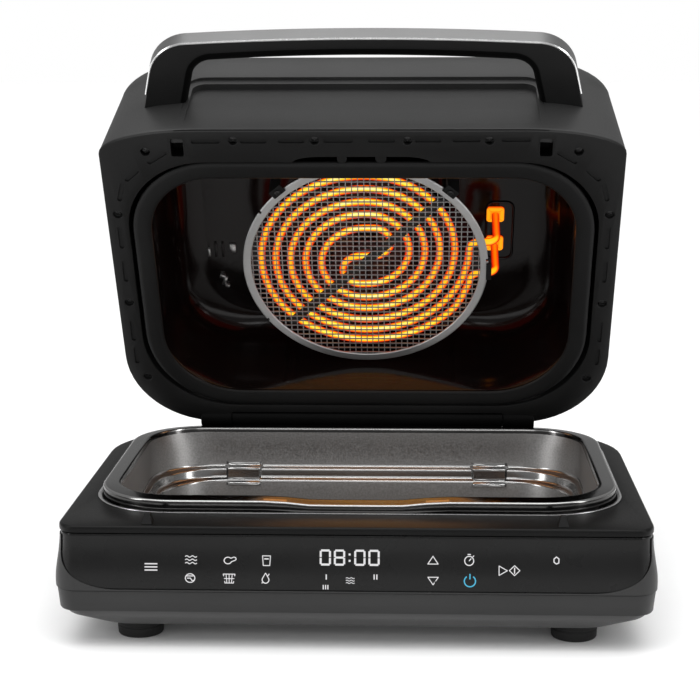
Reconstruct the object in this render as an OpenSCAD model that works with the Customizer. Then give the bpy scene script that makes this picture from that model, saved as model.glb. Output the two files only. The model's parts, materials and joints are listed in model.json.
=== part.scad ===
// Countertop air fryer grill: a low base with a steel pot, and a deep hinged lid
// that carries the heating coil, the fan and the motor. Millimetres, +Z up.
// Base pieces are drawn with y from the front edge of the deck and z from the table.
// Lid pieces are drawn closed, with z from the lid's rim plane, and are then swung open.

/* [Base] */
// Width of the deck beside the pot
deck_side = 19; // [18:0.5:28]
// Depth of the deck behind the pot
deck_behind = 25.5; // [25:0.5:36]
// Height of a rubber foot
foot_h = 14.5; // [12:0.5:20]
// Thickness of the deck plate
deck_t = 5.5; // [4:0.5:6]
// Shadow gap between the deck and the panel below it
deck_gap = 3.3; // [2:0.1:4]
// Height of the control panel
panel_h = 39.6; // [34:0.2:40]
// Height of the grey band under the panel
band_h = 16.6; // [14:0.2:18]
// Height of the tray under the band
tray_h = 15.5; // [15:0.5:17]
// Wall thickness of the plastic casings
shell_t = 2.8; // [2.2:0.1:3.2]
// How far the control panel wraps round to the sides
panel_wrap = 46; // [40:1:60]
// Diameter of a rubber foot
foot_d = 36; // [28:1:38]

/* [Pot] */
// Width of the pot over its rim
pot_w = 402; // [360:1:450]
// Front of the pot rim, behind the front edge of the deck
pot_front = 41; // [41:0.5:45]
// Depth of the pot over its rim, front to back
pot_d = 264.5; // [240:0.5:290]
// Height of the pot rim above the deck
pot_rise = 10; // [8:0.5:12]
// Sheet thickness of the pot
pot_t = 1.4; // [1:0.1:2]
// Width of the flat rim of the pot
pot_lip = 11; // [9:0.5:13]

/* [Lid] */
// How far the lid's rim stands out past the pot at each side
lid_over = 10; // [7:0.5:13]
// Front edge of the lid, behind the front edge of the deck
lid_front = 7.5; // [4:0.5:9]
// Room over the motor, under the lid's roof
motor_room = 6.2; // [5:0.1:18]
// Gap between the pot and the rim of the closed lid
rim_gap = 0.8; // [0.8:0.1:2]
// Angle of the open lid
lid_open = 60; // [0:1:60]
// Thickness of the rim frame
frame_t = 3.5; // [3:0.1:4.5]
// Width of the rim frame at the sides
frame_w = 16; // [15:0.5:18]
// Width of the lid beside its opening
mouth_side = 36; // [35:0.5:41]
// Front edge of the lid's opening, behind the front of the pot
mouth_in = 12.5; // [11:0.5:15]
// How much shallower the lid's opening is than the pot
mouth_less = 36; // [36:0.5:42]
// Height of the liner's roof above the lid's rim
roof_h = 92; // [88:1:93]
// Sheet thickness of the liner
liner_t = 1.2; // [1:0.1:1.6]

/* [Hinge] */
// Hinge axis, in front of the back edge of the deck
hinge_in = 15.5; // [14:0.5:16]
// Hinge axis, above the rim of the closed lid
hinge_over = 3.2; // [2.7:0.1:3.7]
// Diameter of a hinge pin
pin_d = 6; // [4:0.5:8]
// Diameter of the hinge barrel and knuckles
barrel_d = 16; // [15:0.5:17]
// Width of the lid beside the hinge barrel
barrel_side = 90; // [88:1:96]
// Length of one knuckle on the lid
knuckle_w = 26; // [20:1:32]
// Radial clearance of the pins in their bushes
pin_clear = 0.05; // [0.03:0.01:0.09]

/* [Heater and fan] */
// How much smaller the guard ring is than the depth of the lid's opening
guard_room = 16.5; // [14.5:0.5:22.5]
// Width of the guard ring
guard_w = 7; // [5:0.5:9]
// Height of the guard above the lid's rim
guard_h = 40; // [38:1:41]
// Coil's centre, behind the middle of the lid's opening
coil_back = 3.25; // [1.25:0.25:4.25]
// Height of the coil above the lid's rim
coil_h = 50; // [49:0.5:52]
// Diameter of the heater tube
tube_d = 6.6; // [6:0.1:8]
// Outermost turn of the coil, inside the edge of the guard
coil_edge = 5; // [4:0.5:9]
// Radius of the innermost half turn of the coil
coil_in = 23; // [21:0.5:24]
// Guard ring beyond the edge of the air fan, at each side
fan_in = 31; // [26:1:41]
// Diameter of the motor
motor_d = 72; // [64:1:80]
// Diameter of the motor shaft
shaft_d = 6; // [5:0.5:8]

/* [Handle] */
// Reach of the handle in front of the lid's rim
handle_reach = 54; // [45:1:62]
// Root of a handle leg, inside the lid's side
handle_in = 33; // [28:1:36]
// Lean of the legs, in degrees
leg_lean = 13; // [8:0.5:16]
// Thickness of the handle bar, front to back
bar_t = 15; // [12:0.5:18]
// Width of a handle leg
leg_w = 29; // [22:0.5:32]
// Height of the handle
handle_h = 16; // [13:0.5:20]
// Height of the handle above the lid's rim
handle_up = 52; // [40:0.5:56]
// Bow of the handle bar
handle_bow = 4; // [0:0.5:6]
// Thickness of the metal cover on the handle
cover_t = 1.5; // [1:0.1:2.5]

/* [Hidden] */
$fn = 48;

// Steps round one corner of an outline
steps = 8;
// Gap left between pieces that only lie beside each other
slack = 0.3;
// Corner radii of the plan outlines, x and y
base_front_r = [14, 18];
base_back_r = [88, 88];
pot_r = [61, 61];
lid_front_r = [80, 22];
lid_back_r = [76, 76];
mouth_r = [66, 66];

// Heights of the base, from the table up
tray_floor = foot_h;
tray_top = tray_floor + tray_h;
band_top = tray_top + band_h;
panel_top = band_top + panel_h;
deck_h = panel_top + deck_gap + deck_t;
tray_t = 2.5;
tray_rim = 5;

// How far the side wall stands out at the share s of the panel's or the band's height
function panel_out(s) = -1 + 3.9 * pow(sin(100 * s), 2);
function band_out(s) = panel_out(1) - 1.8 * s;
panel_stations = [0, 0.2, 0.4, 0.6, 0.8, 1];
band_stations = [0, 0.5, 1];

// Plan of the base, the lid and the lid's opening, all from the pot
base_w = pot_w + 2 * deck_side;
base_d = pot_front + pot_d + deck_behind;
lid_w = pot_w + 2 * lid_over;
mouth_w = lid_w - 2 * mouth_side;
mouth_front = pot_front + mouth_in;
mouth_d = pot_d - mouth_less;
handle_w = lid_w - 2 * handle_in;

// Hinge axis and lid rim
hinge_back = base_d - hinge_in;
lid_gap = pot_rise + rim_gap;
hinge_up = lid_gap + hinge_over;
hinge_z = deck_h + hinge_up;
hinge_lid_z = hinge_over;
lid_back = hinge_back + 2;
barrel_w = lid_w - 2 * barrel_side;
knuckle_gap = 2.5;
barrel_gap = 1.5;
shell_back = hinge_back - barrel_d / 2 - barrel_gap - 3;
bush_d = pin_d + 4;
bush_w = 18;

// Lid profile: draft of the walls and rounding of the top edge
side_draft = 0.05;
front_draft = 0.11;
back_draft = 0.08;
top_round = 38;
top_in = 36;
front_in = 14;
crown = 4;
crown_in = 70;

// Opening of the rim frame, the seal and the liner's flange
frame_in_w = lid_w / 2 - frame_w;
frame_in_front = lid_front + 29;
frame_in_back = hinge_back - barrel_d / 2 - barrel_gap - 8;
frame_in_r = [78, 78];
mouth_back = mouth_front + mouth_d;

// Guard, coil and fan, in the lid's opening
guard_d = mouth_d - guard_room;
coil_y = mouth_front + mouth_d / 2 + coil_back;
coil_pitch = (guard_d / 2 - coil_edge - coil_in) / 6;
fan_d = guard_d - 2 * fan_in;

// Coil levels and the parts above the liner
coil_top = coil_h + tube_d / 2;
roof_top = roof_h + liner_t;
shield_h = roof_top + 4;
shield_t = 0.8;
cooling_h = shield_h + shield_t + 4;
cooling_t = 8;
motor_h = cooling_h + cooling_t + 3;
motor_t = 22;
motor_plate = 3;
lid_h = motor_h + motor_t + motor_room + shell_t;
shaft_clear = 0.05;
bearing_d = shaft_d + 10;

// Wells and boards in the front bay of the base
well_gap = 1.5;
well_front = pot_front - well_gap;
well_back = pot_front + pot_d + well_gap;
well_w = pot_w / 2 + well_gap;
well_t = 0.8;
well_flange = 2.5;
well_floor = tray_floor + tray_t + 6;
pot_floor = well_floor + well_t;
board_t = 1.6;
board_front = 6;
board_z = tray_floor + tray_t + 5;
board_d = 20;

// Rounded plan outline, anticlockwise from above: half width, front, back, corner radii
function corner(c, r, a0) = [for (i = [0:steps]) let (a = a0 + 90 * i / steps)
  [c.x + r.x * cos(a), c.y + r.y * sin(a)]];
function outline(w, y0, y1, f, b) = concat(
  corner([w - b.x, y1 - b.y], b, 0), corner([-w + b.x, y1 - b.y], b, 90),
  corner([-w + f.x, y0 + f.y], f, 180), corner([w - f.x, y0 + f.y], f, 270));
function grown(r, o) = [max(r.x + o, 1), max(r.y + o, 1)];
function at_z(pts, z) = [for (p = pts) [p.x, p.y, z]];
// Base outline pushed out by o, and lid outline at height z pushed in by o
function base_ring(o, z) = at_z(outline(base_w / 2 + o, -o, base_d + o,
  grown(base_front_r, o), grown(base_back_r, o)), z);
// at the sides and the back, and by f at the front
function lid_ring(z, o, f) = at_z(outline(lid_w / 2 - side_draft * z - o,
  lid_front + front_draft * z + f, shell_back - back_draft * z - o,
  [grown(lid_front_r, -0.5 * o).x, grown(lid_front_r, -0.5 * f).y], grown(lid_back_r, -o)), z);

// Closed solid through a stack of rings with the same count of points, capped at both ends
module loft(rings) {
  n = len(rings[0]);
  m = len(rings);
  polyhedron(points = [for (r = rings) each r], faces = concat(
    [[for (j = [0:n - 1]) j]],
    [for (i = [0:m - 2], j = [0:n - 1])
      [i * n + j, (i + 1) * n + j, (i + 1) * n + (j + 1) % n, i * n + (j + 1) % n]],
    [[for (j = [n - 1:-1:0]) (m - 1) * n + j]]));
}
// The same with the last ring joined to the first, for a frame with a hole
module ring_loft(rings) {
  n = len(rings[0]);
  m = len(rings);
  polyhedron(points = [for (r = rings) each r], faces = [for (i = [0:m - 1], j = [0:n - 1])
    [i * n + j, ((i + 1) % m) * n + j, ((i + 1) % m) * n + (j + 1) % n, i * n + (j + 1) % n]]);
}
// Flat plate between two outlines
module plate(pts, t) { linear_extrude(t) polygon(pts); }

// Lid shell: outer wall up to the rounded top, and the same for the inner wall; the front bends over late
round_steps = [0:15:90];
function bend(a) = 1 - cos(a);
function late_bend(a) = pow(bend(a), 3);
lid_wall_top = lid_h - top_round - crown;
lid_outer = concat(
  [for (z = [frame_t, lid_wall_top / 3, lid_wall_top * 2 / 3]) lid_ring(z, 0, 0)],
  [for (a = round_steps) at_z(lid_ring(lid_wall_top, top_in * bend(a), front_in * late_bend(a)),
    lid_wall_top + top_round * sin(a))],
  [at_z(lid_ring(lid_wall_top, top_in + crown_in, front_in + crown_in), lid_h)]);
lid_inner = concat(
  [for (z = [frame_t, lid_wall_top / 3, lid_wall_top * 2 / 3]) lid_ring(z, shell_t, shell_t)],
  [for (a = round_steps) at_z(lid_ring(lid_wall_top, shell_t + (top_in - shell_t) * bend(a),
    shell_t + (front_in - shell_t) * late_bend(a)), lid_wall_top + (top_round - shell_t) * sin(a))],
  [at_z(lid_ring(lid_wall_top, top_in + crown_in, front_in + crown_in), lid_h - shell_t)]);

// Places of the base and of the lid
function swung_y(p) = hinge_back + (p.y - hinge_back) * cos(lid_open)
  + (p.z - hinge_lid_z) * sin(lid_open);
rear_reach = max([for (r = lid_outer) for (p = r) swung_y(p)]);
front_reach = -max([for (s = panel_stations) panel_out(s)]);
centre_y = (rear_reach + front_reach) / 2;
module in_base() { translate([0, -centre_y, 0]) children(); }
module in_lid() {
  in_base() translate([0, hinge_back, hinge_z]) rotate([-lid_open, 0, 0])
    translate([0, -hinge_back, -hinge_lid_z]) children();
}
module both_sides() { children(); mirror([1, 0, 0]) children(); }

// Base pieces

// Deck plate with the opening for the well, a tongue inside the walls and the screw posts
post_d = 9;
post_x = base_w / 2 - 13;
post_back_y = base_d - 12;
// Place of each post, with the turn and the length of the bracket arm that reaches the tray's rim
post_places = [[post_x, 25, 0, 8.5], [post_x, 150, 0, 8.5], [base_w / 2 - 80, post_back_y, 90, 8.5]];
post_foot = tray_top + tray_rim + 2;
tab_t = 2;
deck_screw_l = 14;
lug_x = lid_w / 2 - 60;
lug_w = 8;
lug_d = 11;
lug_front = lid_front + 8;
lug_h = lid_gap + 2.5;
screw_d = 3.5;
module interlock_lugs() {
  color("#2b2c2e") in_base() both_sides() translate([lug_x - lug_w / 2, lug_front, deck_h])
    rotate([90, 0, 90]) linear_extrude(lug_w)
      polygon([[0, 0], [lug_d, 0], [lug_d * 0.7, lug_h], [lug_d * 0.25, lug_h]]);
}
module top_deck() {
  tongue_in = 6;
  tongue_back = tongue_in + 2;
  tongue_h = 8;
  color("#2b2c2e") in_base() difference() {
    union() {
      translate([0, 0, deck_h - deck_t]) difference() {
        plate(outline(base_w / 2, 0, base_d, base_front_r, base_back_r), deck_t);
        translate([0, 0, -1]) plate(outline(well_w, well_front, well_back, pot_r, pot_r), deck_t + 2);
      }
      translate([0, 0, deck_h - deck_t - tongue_h]) difference() {
        plate(outline(base_w / 2 - tongue_in, tongue_in, base_d - tongue_in,
          grown(base_front_r, -tongue_in), grown(base_back_r, -tongue_in)), tongue_h);
        translate([0, 0, -1]) plate(outline(base_w / 2 - tongue_back, tongue_back, base_d - tongue_back,
          grown(base_front_r, -tongue_back), grown(base_back_r, -tongue_back)), tongue_h + 2);
      }
      both_sides() for (p = post_places)
        translate([p.x, p.y, post_foot]) cylinder(d = post_d, h = deck_h - deck_t - post_foot);
    }
    both_sides() for (p = post_places)
      translate([p.x, p.y, post_foot - 1]) cylinder(d = screw_d, h = deck_screw_l);
  }
}
// Screws that hold the tray's brackets to the deck posts
module screw(d, head_d, head_h, l) {
  cylinder(d = d, h = l);
  translate([0, 0, -head_h]) cylinder(d = head_d, h = head_h);
}
module deck_screws() {
  color("#8f9296") in_base() both_sides() for (p = post_places)
    translate([p.x, p.y, post_foot - tab_t]) screw(screw_d, 7, 2.2, deck_screw_l - 2);
}

// Side walls: a strip along part of the outline between two stations of height
function wall_path(o, front) = let (w = base_w / 2 + o, f = grown(base_front_r, o), b = grown(base_back_r, o))
  front ? concat([[-w, panel_wrap]], corner([-w + f.x, -o + f.y], f, 180),
                 corner([w - f.x, -o + f.y], f, 270), [[w, panel_wrap]])
        : concat([[w, panel_wrap + slack]], corner([w - b.x, base_d + o - b.y], b, 0),
                 corner([-w + b.x, base_d + o - b.y], b, 90), [[-w, panel_wrap + slack]]);
module wall_strip(front) {
  outs = [for (s = panel_stations) wall_path(panel_out(s), front)];
  ins = [for (s = panel_stations) wall_path(panel_out(s) - shell_t, front)];
  zs = [for (s = panel_stations) panel_top - panel_h * s];
  k = len(zs);
  loft([for (j = [0:len(outs[0]) - 1]) concat(
    [for (i = [0:k - 1]) [outs[i][j].x, outs[i][j].y, zs[i]]],
    [for (i = [k - 1:-1:0]) [ins[i][j].x, ins[i][j].y, zs[i]]])]);
}
module control_panel() { color("#0b0b0d") in_base() wall_strip(true); }
module rear_casing() { color("#2f3033") in_base() wall_strip(false); }

module grey_band() {
  outs = [for (s = band_stations) base_ring(band_out(s), band_top - band_h * s)];
  ins = [for (s = band_stations) base_ring(band_out(s) - shell_t, band_top - band_h * s)];
  k = len(outs);
  color("#57585b") in_base() ring_loft(concat(
    [for (i = [k - 1:-1:0]) outs[i]], [for (i = [0:k - 1]) ins[i]]));
}

// Tray under the base: side slope, front slope and height of each ring, as shares of its height
tray_slope = [[0, -4, -1], [0.5, -6, -2], [0.8, -12, -5], [1, -22, -12]];
function tray_ring(side, front, z, r) = at_z(outline(base_w / 2 + side, -front, base_d + side,
  [base_front_r.x + r, base_front_r.y + r], grown(base_back_r, side)), z);
module bottom_tray() {
  rim_out = band_out(1) - shell_t - slack;
  outer = [for (i = [3:-1:0]) let (s = tray_slope[i])
    tray_ring(s[1], s[2], tray_top - slack - (tray_h - slack) * s[0], 20 * s[0])];
  inner = [for (s = tray_slope) tray_ring(s[1] - tray_t * 1.4, s[2] - tray_t,
    tray_top - slack + (s[0] == 0 ? 0 : tray_t * 0.6) - (tray_h - slack - tray_t * 0.4) * s[0], 20 * s[0])];
  rim = [base_ring(rim_out, tray_top - slack), base_ring(rim_out, tray_top + tray_rim),
    base_ring(rim_out - tray_t, tray_top + tray_rim), base_ring(rim_out - tray_t, tray_top - slack)];
  color("#3a3b3d") in_base() {
    loft(concat(outer, rim, inner));
    both_sides() for (p = post_places) screw_tab(p);
  }
}
// Bracket on the tray's rim, under a screw post of the deck
module screw_tab(p) {
  translate([p.x, p.y, post_foot - tab_t]) difference() {
    union() {
      cylinder(d = post_d, h = tab_t);
      rotate([0, 0, p[2]]) translate([0, -post_d / 2, 0]) cube([p[3], post_d, tab_t]);
    }
    translate([0, 0, -1]) cylinder(d = screw_d, h = tab_t + 2);
  }
}

// Sheet-metal well that lines the opening and carries the pot on its floor
module well_liner() {
  drop = 10;
  function ring(o, z) = at_z(outline(well_w - o, well_front + o, well_back - o,
    grown(pot_r, -o), grown(pot_r, -o)), z);
  color("#9a9da1") in_base() loft([
    ring(drop + 14, well_floor), ring(drop + 4, well_floor + 3), ring(drop, well_floor + 12),
    ring(slack, deck_h - deck_t), ring(slack, deck_h), ring(-well_flange, deck_h),
    ring(-well_flange, deck_h + well_t), ring(slack + well_t, deck_h + well_t),
    ring(drop + well_t, well_floor + 12), ring(drop + 4 + well_t, well_floor + 3 + well_t),
    ring(drop + 14, well_floor + well_t)]);
}

// Steel pot: floor, walls with a ledge, and the flat rim with its turned-down edge
pot_rim_z = deck_h + pot_rise;
module cooking_pot() {
  function ring(o, z) = at_z(outline(pot_w / 2 - o, pot_front + o, pot_front + pot_d - o,
    grown(pot_r, -o), grown(pot_r, -o)), z);
  edge = 4.5;
  ledge_z = deck_h - 22;
  ledge = 5;
  side = pot_lip + 3;
  color("#b9bbbe") in_base() loft([
    ring(side + 22, pot_floor), ring(side + 13, pot_floor + 3), ring(side + 8, pot_floor + 12),
    ring(side + ledge, ledge_z - 2 * pot_t), ring(side - 1, ledge_z - pot_t),
    ring(pot_lip + pot_t, pot_rim_z - 4), ring(pot_lip - 1, pot_rim_z - pot_t),
    ring(pot_t, pot_rim_z - pot_t), ring(pot_t, pot_rim_z - edge),
    ring(0, pot_rim_z - edge), ring(0, pot_rim_z - 1), ring(1, pot_rim_z), ring(pot_lip - 1, pot_rim_z),
    ring(pot_lip + 2 * pot_t, pot_rim_z - 4), ring(side - 1 + pot_t, ledge_z),
    ring(side + ledge + pot_t, ledge_z - pot_t),
    ring(side + 8 + pot_t, pot_floor + 12), ring(side + 13 + pot_t, pot_floor + 3 + pot_t),
    ring(side + 22, pot_floor + pot_t)]);
}

// Rubber feet with their screws
foot_x = base_w / 2 - 55;
foot_front = 43;
foot_back = base_d - 75;
foot_places = [[foot_x, foot_front], [foot_x, foot_back]];
foot_recess = 6;
module rubber_feet() {
  color("#141415") in_base() both_sides() for (p = foot_places) translate([p.x, p.y, 0]) difference() {
    rotate_extrude()
      polygon([[0, 0], [foot_d / 2 - 2, 0], [foot_d / 2 - 1, 1], [foot_d / 2, foot_h], [0, foot_h]]);
    translate([0, 0, -1]) cylinder(d = 11, h = foot_recess + 1);
    cylinder(d = screw_d, h = foot_h + 1);
  }
}
module foot_screws() {
  color("#8f9296") in_base() both_sides() for (p = foot_places)
    translate([p.x, p.y, foot_recess]) screw(screw_d, 8, 2.4, foot_h - foot_recess);
}

// Electronics in the bay between the control panel and the well
bay_mid = (band_top + panel_top) / 2;
display_w = 74;
display_h = 24;
display_t = 7;
peg_front = shell_t - panel_out(0.4);
module touch_board() {
  board_h = panel_h - 10;
  color("#1d4d2b") in_base() translate([-base_w / 2 + 30, board_front, bay_mid - board_h / 2])
    cube([base_w - 60, board_t, board_h]);
  color("#1d4d2b") in_base() both_sides() for (x = [40, base_w / 2 - 50])
    translate([x, peg_front, bay_mid]) rotate([-90, 0, 0]) cylinder(d = 6, h = board_front - peg_front);
}
module display_module() {
  color("#16181c") in_base() translate([-display_w / 2, board_front + board_t, bay_mid - display_h / 2])
    cube([display_w, display_t, display_h]);
}
module buzzer() {
  color("#101010") in_base() translate([95, board_front + board_t, bay_mid]) rotate([-90, 0, 0])
    difference() { cylinder(d = 14, h = 6); translate([0, 0, 4]) cylinder(d = 3, h = 3); }
}
board_y = board_front + board_t + display_t + 2;
board_w = base_w - 190;
stand_d = 6;
board_screw_d = 2.5;
board_places = [[board_w / 2 - 6, board_y + 5], [-board_w / 2 + 6, board_y + 5]];
module power_board() {
  color("#2c6b3c") in_base() difference() {
    union() {
      translate([-board_w / 2, board_y, board_z]) cube([board_w, board_d, board_t]);
      for (p = board_places) translate([p.x, p.y, tray_floor + tray_t])
        cylinder(d = stand_d, h = board_z - tray_floor - tray_t);
    }
    for (p = board_places) translate([p.x, p.y, tray_floor + tray_t]) cylinder(d = board_screw_d, h = 20);
  }
}
module board_screws() {
  color("#8f9296") in_base() for (p = board_places) translate([p.x, p.y, board_z + board_t])
    mirror([0, 0, 1]) screw(board_screw_d, 5, 1.8, board_z + board_t - tray_floor - tray_t);
}
on_board = board_z + board_t;
module power_relays() {
  color("#1f4f9a") in_base() for (x = [-95, -70]) translate([x, board_y + 1, on_board]) cube([20, 16, 15]);
}
module transformer() {
  color("#d8b23a") in_base() {
    translate([-25, board_y + 1, on_board]) cube([32, 18, 5]);
    translate([-21, board_y + 2, on_board + 5]) cube([24, 16, 16]);
  }
}
module filter_capacitor() {
  color("#26324a") in_base() translate([45, board_y + 9, on_board]) cylinder(d = 14, h = 22);
}

// Gland for the mains lead, low in the back wall
gland_d = 15;
gland_x = -70;
gland_z = (panel_top + band_top) / 2 - 6;
module cord_gland() {
  wall_y = base_d - front_reach;
  color("#101010") in_base() translate([gland_x, wall_y, gland_z]) rotate([-90, 0, 0]) difference() {
    union() {
      cylinder(d = gland_d + 6, h = 4);
      translate([0, 0, 4]) cylinder(d = gland_d, h = 6);
    }
    translate([0, 0, 2]) cylinder(d = 8, h = 9);
  }
}

// Hinge barrel on the deck, with a bush in each end
module hinge_block() {
  foot_t = 13;
  color("#232426") in_base() difference() {
    union() {
      translate([-barrel_w / 2, hinge_back, hinge_z]) rotate([0, 90, 0]) cylinder(d = barrel_d, h = barrel_w);
      translate([-barrel_w / 2, hinge_back - foot_t / 2 + 1, deck_h]) cube([barrel_w, foot_t, hinge_up]);
    }
    both_sides() translate([barrel_w / 2 - bush_w, hinge_back, hinge_z]) rotate([0, 90, 0])
      cylinder(d = bush_d, h = bush_w + 1);
  }
}
module hinge_bushes() {
  color("#e3dfd2") in_base() both_sides()
    translate([barrel_w / 2 - bush_w, hinge_back, hinge_z]) rotate([0, 90, 0]) difference() {
      cylinder(d = bush_d, h = bush_w);
      translate([0, 0, -1]) cylinder(d = pin_d + 2 * pin_clear, h = bush_w + 2);
    }
}

// Lid pieces

module lid_shell() {
  n = len(lid_outer);
  color("#3b3c3f") in_lid() loft(concat([for (i = [n - 1:-1:0]) lid_inner[i]], lid_outer));
}

// Rim frame: a flat flange with the hinge knuckles, slots for the lugs and screw recesses
rim_edge = lid_w / 2;
rim_screw_places = [[rim_edge - 38, lid_front + 19.5], [rim_edge - 109, lid_front + 9.1],
  [rim_edge - 174, lid_front + 9], [rim_edge - 9.5, lid_front + 81],
  [rim_edge - 9.5, lid_front + 173.5], [rim_edge - 12.5, lid_back - 53.5]];
rim_head_d = 7;
rim_head_h = 2;
slot_w = lug_w + 2;
slot_d = lug_d + 6;
knuckle_in = barrel_w / 2 + knuckle_gap;
module lid_rim_frame() {
  color("#303134") in_lid() difference() {
    union() {
      plate(outline(lid_w / 2, lid_front, lid_back, lid_front_r, lid_back_r), frame_t);
      both_sides() translate([knuckle_in, hinge_back, hinge_lid_z]) rotate([0, 90, 0])
        cylinder(d = barrel_d, h = knuckle_w);
    }
    translate([0, 0, -1])
      plate(outline(frame_in_w, frame_in_front, frame_in_back, frame_in_r, frame_in_r), frame_t + 2);
    translate([-knuckle_in, frame_in_back + 8, -barrel_d]) cube([2 * knuckle_in, barrel_d, 2 * barrel_d]);
    both_sides() {
      translate([lug_x - slot_w / 2, lug_front + lug_d / 2 - slot_d / 2, -1])
        cube([slot_w, slot_d, frame_t + 2]);
      translate([knuckle_in - 1, hinge_back, hinge_lid_z]) rotate([0, 90, 0])
        cylinder(d = pin_d, h = knuckle_w + 2);
      for (p = rim_screw_places) translate([p.x, p.y, -1]) {
        cylinder(d = rim_head_d + 0.6, h = rim_head_h + 1);
        cylinder(d = screw_d, h = frame_t + 2);
      }
    }
  }
}
module rim_screws() {
  color("#1a1a1b") in_lid() both_sides() for (p = rim_screw_places) translate([p.x, p.y, 0]) {
    difference() {
      cylinder(d = rim_head_d, h = rim_head_h);
      translate([-2.5, -0.5, -1]) cube([5, 1, 2]);
    }
    translate([0, 0, rim_head_h]) cylinder(d = screw_d, h = frame_t - rim_head_h);
  }
}
module hinge_pins() {
  color("#b4b7bb") in_lid() both_sides() translate([barrel_w / 2 - bush_w + 1, hinge_back, hinge_lid_z])
    rotate([0, 90, 0]) cylinder(d = pin_d, h = bush_w - 1 + knuckle_gap + knuckle_w);
}

// Rounded seal round the mouth of the lid
seal_w = 12.5;
module lid_seal() {
  function ring(o, z) = at_z(outline(mouth_w / 2 + o, mouth_front - o, mouth_back + o,
    grown(mouth_r, o), grown(mouth_r, o)), z);
  back_w = frame_in_back - mouth_back;
  w = min(seal_w, back_w - 1);
  color("#161617") in_lid() ring_loft([
    ring(0, frame_t), ring(0, 1.2), ring(1.2, 0.2), ring(w / 2, 0),
    ring(w - 1.2, 0.3), ring(w, 1.4), ring(w, frame_t)]);
}

// Enamelled liner: flange on the frame, walls and roof with a hole for the shaft
shaft_hole = 9;
module lid_liner() {
  function wall(o, z) = at_z(outline(mouth_w / 2 - o, mouth_front + o * 0.8, mouth_back - o * 0.7,
    grown(mouth_r, -o * 0.4), grown(mouth_r, -o * 0.4)), z);
  function flange(z) = at_z(outline(frame_in_w + 8, frame_in_front - 10, shell_back - shell_t - slack,
    frame_in_r, frame_in_r), z);
  function hole(z) = at_z(outline(shaft_hole, coil_y - shaft_hole, coil_y + shaft_hole,
    [shaft_hole, shaft_hole] * 0.85, [shaft_hole, shaft_hole] * 0.85), z);
  round_r = 30;
  taper = 1.5;
  straight = roof_h - round_r;
  inside = concat([wall(0, frame_t), wall(taper, straight)],
    [for (a = [30, 60, 90]) wall(taper + round_r * (1 - cos(a)), straight + round_r * sin(a))],
    [hole(roof_h)]);
  out_r = round_r + liner_t;
  outside = concat([wall(-liner_t, frame_t + liner_t), wall(taper - liner_t, straight)],
    [for (a = [30, 60, 90]) wall(taper - liner_t + out_r * (1 - cos(a)), straight + out_r * sin(a))],
    [hole(roof_top)]);
  n = len(inside);
  color("#1b1512") in_lid() ring_loft(concat([for (i = [n - 1:-1:0]) inside[i]],
    [flange(frame_t), flange(frame_t + liner_t)], outside));
}

// Handle: a flat arch in front of the lid, with a metal cover on its outer face
handle_r = 34;
handle_in_r = 24;
handle_front = lid_front - handle_reach;
root_y = lid_front + 30;
cover_end = lid_front - 2;
function reversed(l) = [for (i = [len(l) - 1:-1:0]) l[i]];
// Line round the arch: inside the outer face by leg_o at the legs and bar_o at the bar, ending at y1
function leg_x(y, o) = -handle_w / 2 + tan(leg_lean) * (lid_front - y) + o / cos(leg_lean);
function arch(leg_o, bar_o, r, y1) = let (yb = handle_front + handle_bow + bar_o, cy = yb + r,
    cx = leg_x(cy, leg_o + r),
    left = concat([[leg_x(y1, leg_o), y1]],
      [for (i = [0:8]) let (a = 180 + leg_lean + (90 - leg_lean) * i / 8) [cx + r * cos(a), cy + r * sin(a)]],
      [for (t = [0.2:0.2:1]) [cx * (1 - t), yb - handle_bow * (1 - pow(1 - t, 2))]]))
  concat(left, [for (i = [len(left) - 2:-1:0]) [-left[i].x, left[i].y]]);
// Plan of the lid wall at the bottom of the handle legs, where they end
function lid_wall_plan() = [for (p = lid_ring(handle_up, -slack, -slack)) [p.x, p.y]];
leg_x0 = handle_w / 2 - leg_w / 2;
leg_end = lid_front + front_draft * handle_up;
leg_screw_l = 16;
module handle_core() {
  color("#3a3b3e") in_lid() translate([0, 0, handle_up]) difference() {
    plate(concat(arch(cover_t, cover_t, handle_r - cover_t, root_y),
      reversed(arch(leg_w, bar_t, handle_in_r, root_y))), handle_h);
    translate([0, 0, -1]) plate(lid_wall_plan(), handle_h + 2);
    both_sides() translate([leg_x0, root_y, handle_h / 2]) rotate([90, 0, 0])
      cylinder(d = screw_d, h = root_y - leg_end + leg_screw_l);
  }
}
module handle_cover() {
  color("#a8abaf") in_lid() translate([0, 0, handle_up])
    plate(concat(arch(0, 0, handle_r, cover_end),
      reversed(arch(cover_t, cover_t, handle_r - cover_t, cover_end))), handle_h);
}
module handle_screws() {
  color("#8f9296") in_lid() both_sides() translate([leg_x0, leg_end - slack, handle_up + handle_h / 2])
    rotate([90, 0, 0]) cylinder(d = screw_d, h = leg_screw_l - slack);
}

// Heating coil: half turns about two centres, so that two strands wind in to an S
// in the middle; both ends leave on the right and rise to the roof
function coil_r(k) = coil_in + coil_pitch * k;
function turn(cy, r, a0, a1) = let (n = max(2, ceil(abs(a1 - a0) / 15)))
  [for (i = [1:n]) let (a = a0 + (a1 - a0) * i / n) [r * cos(a), cy + r * sin(a), 0]];
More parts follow.
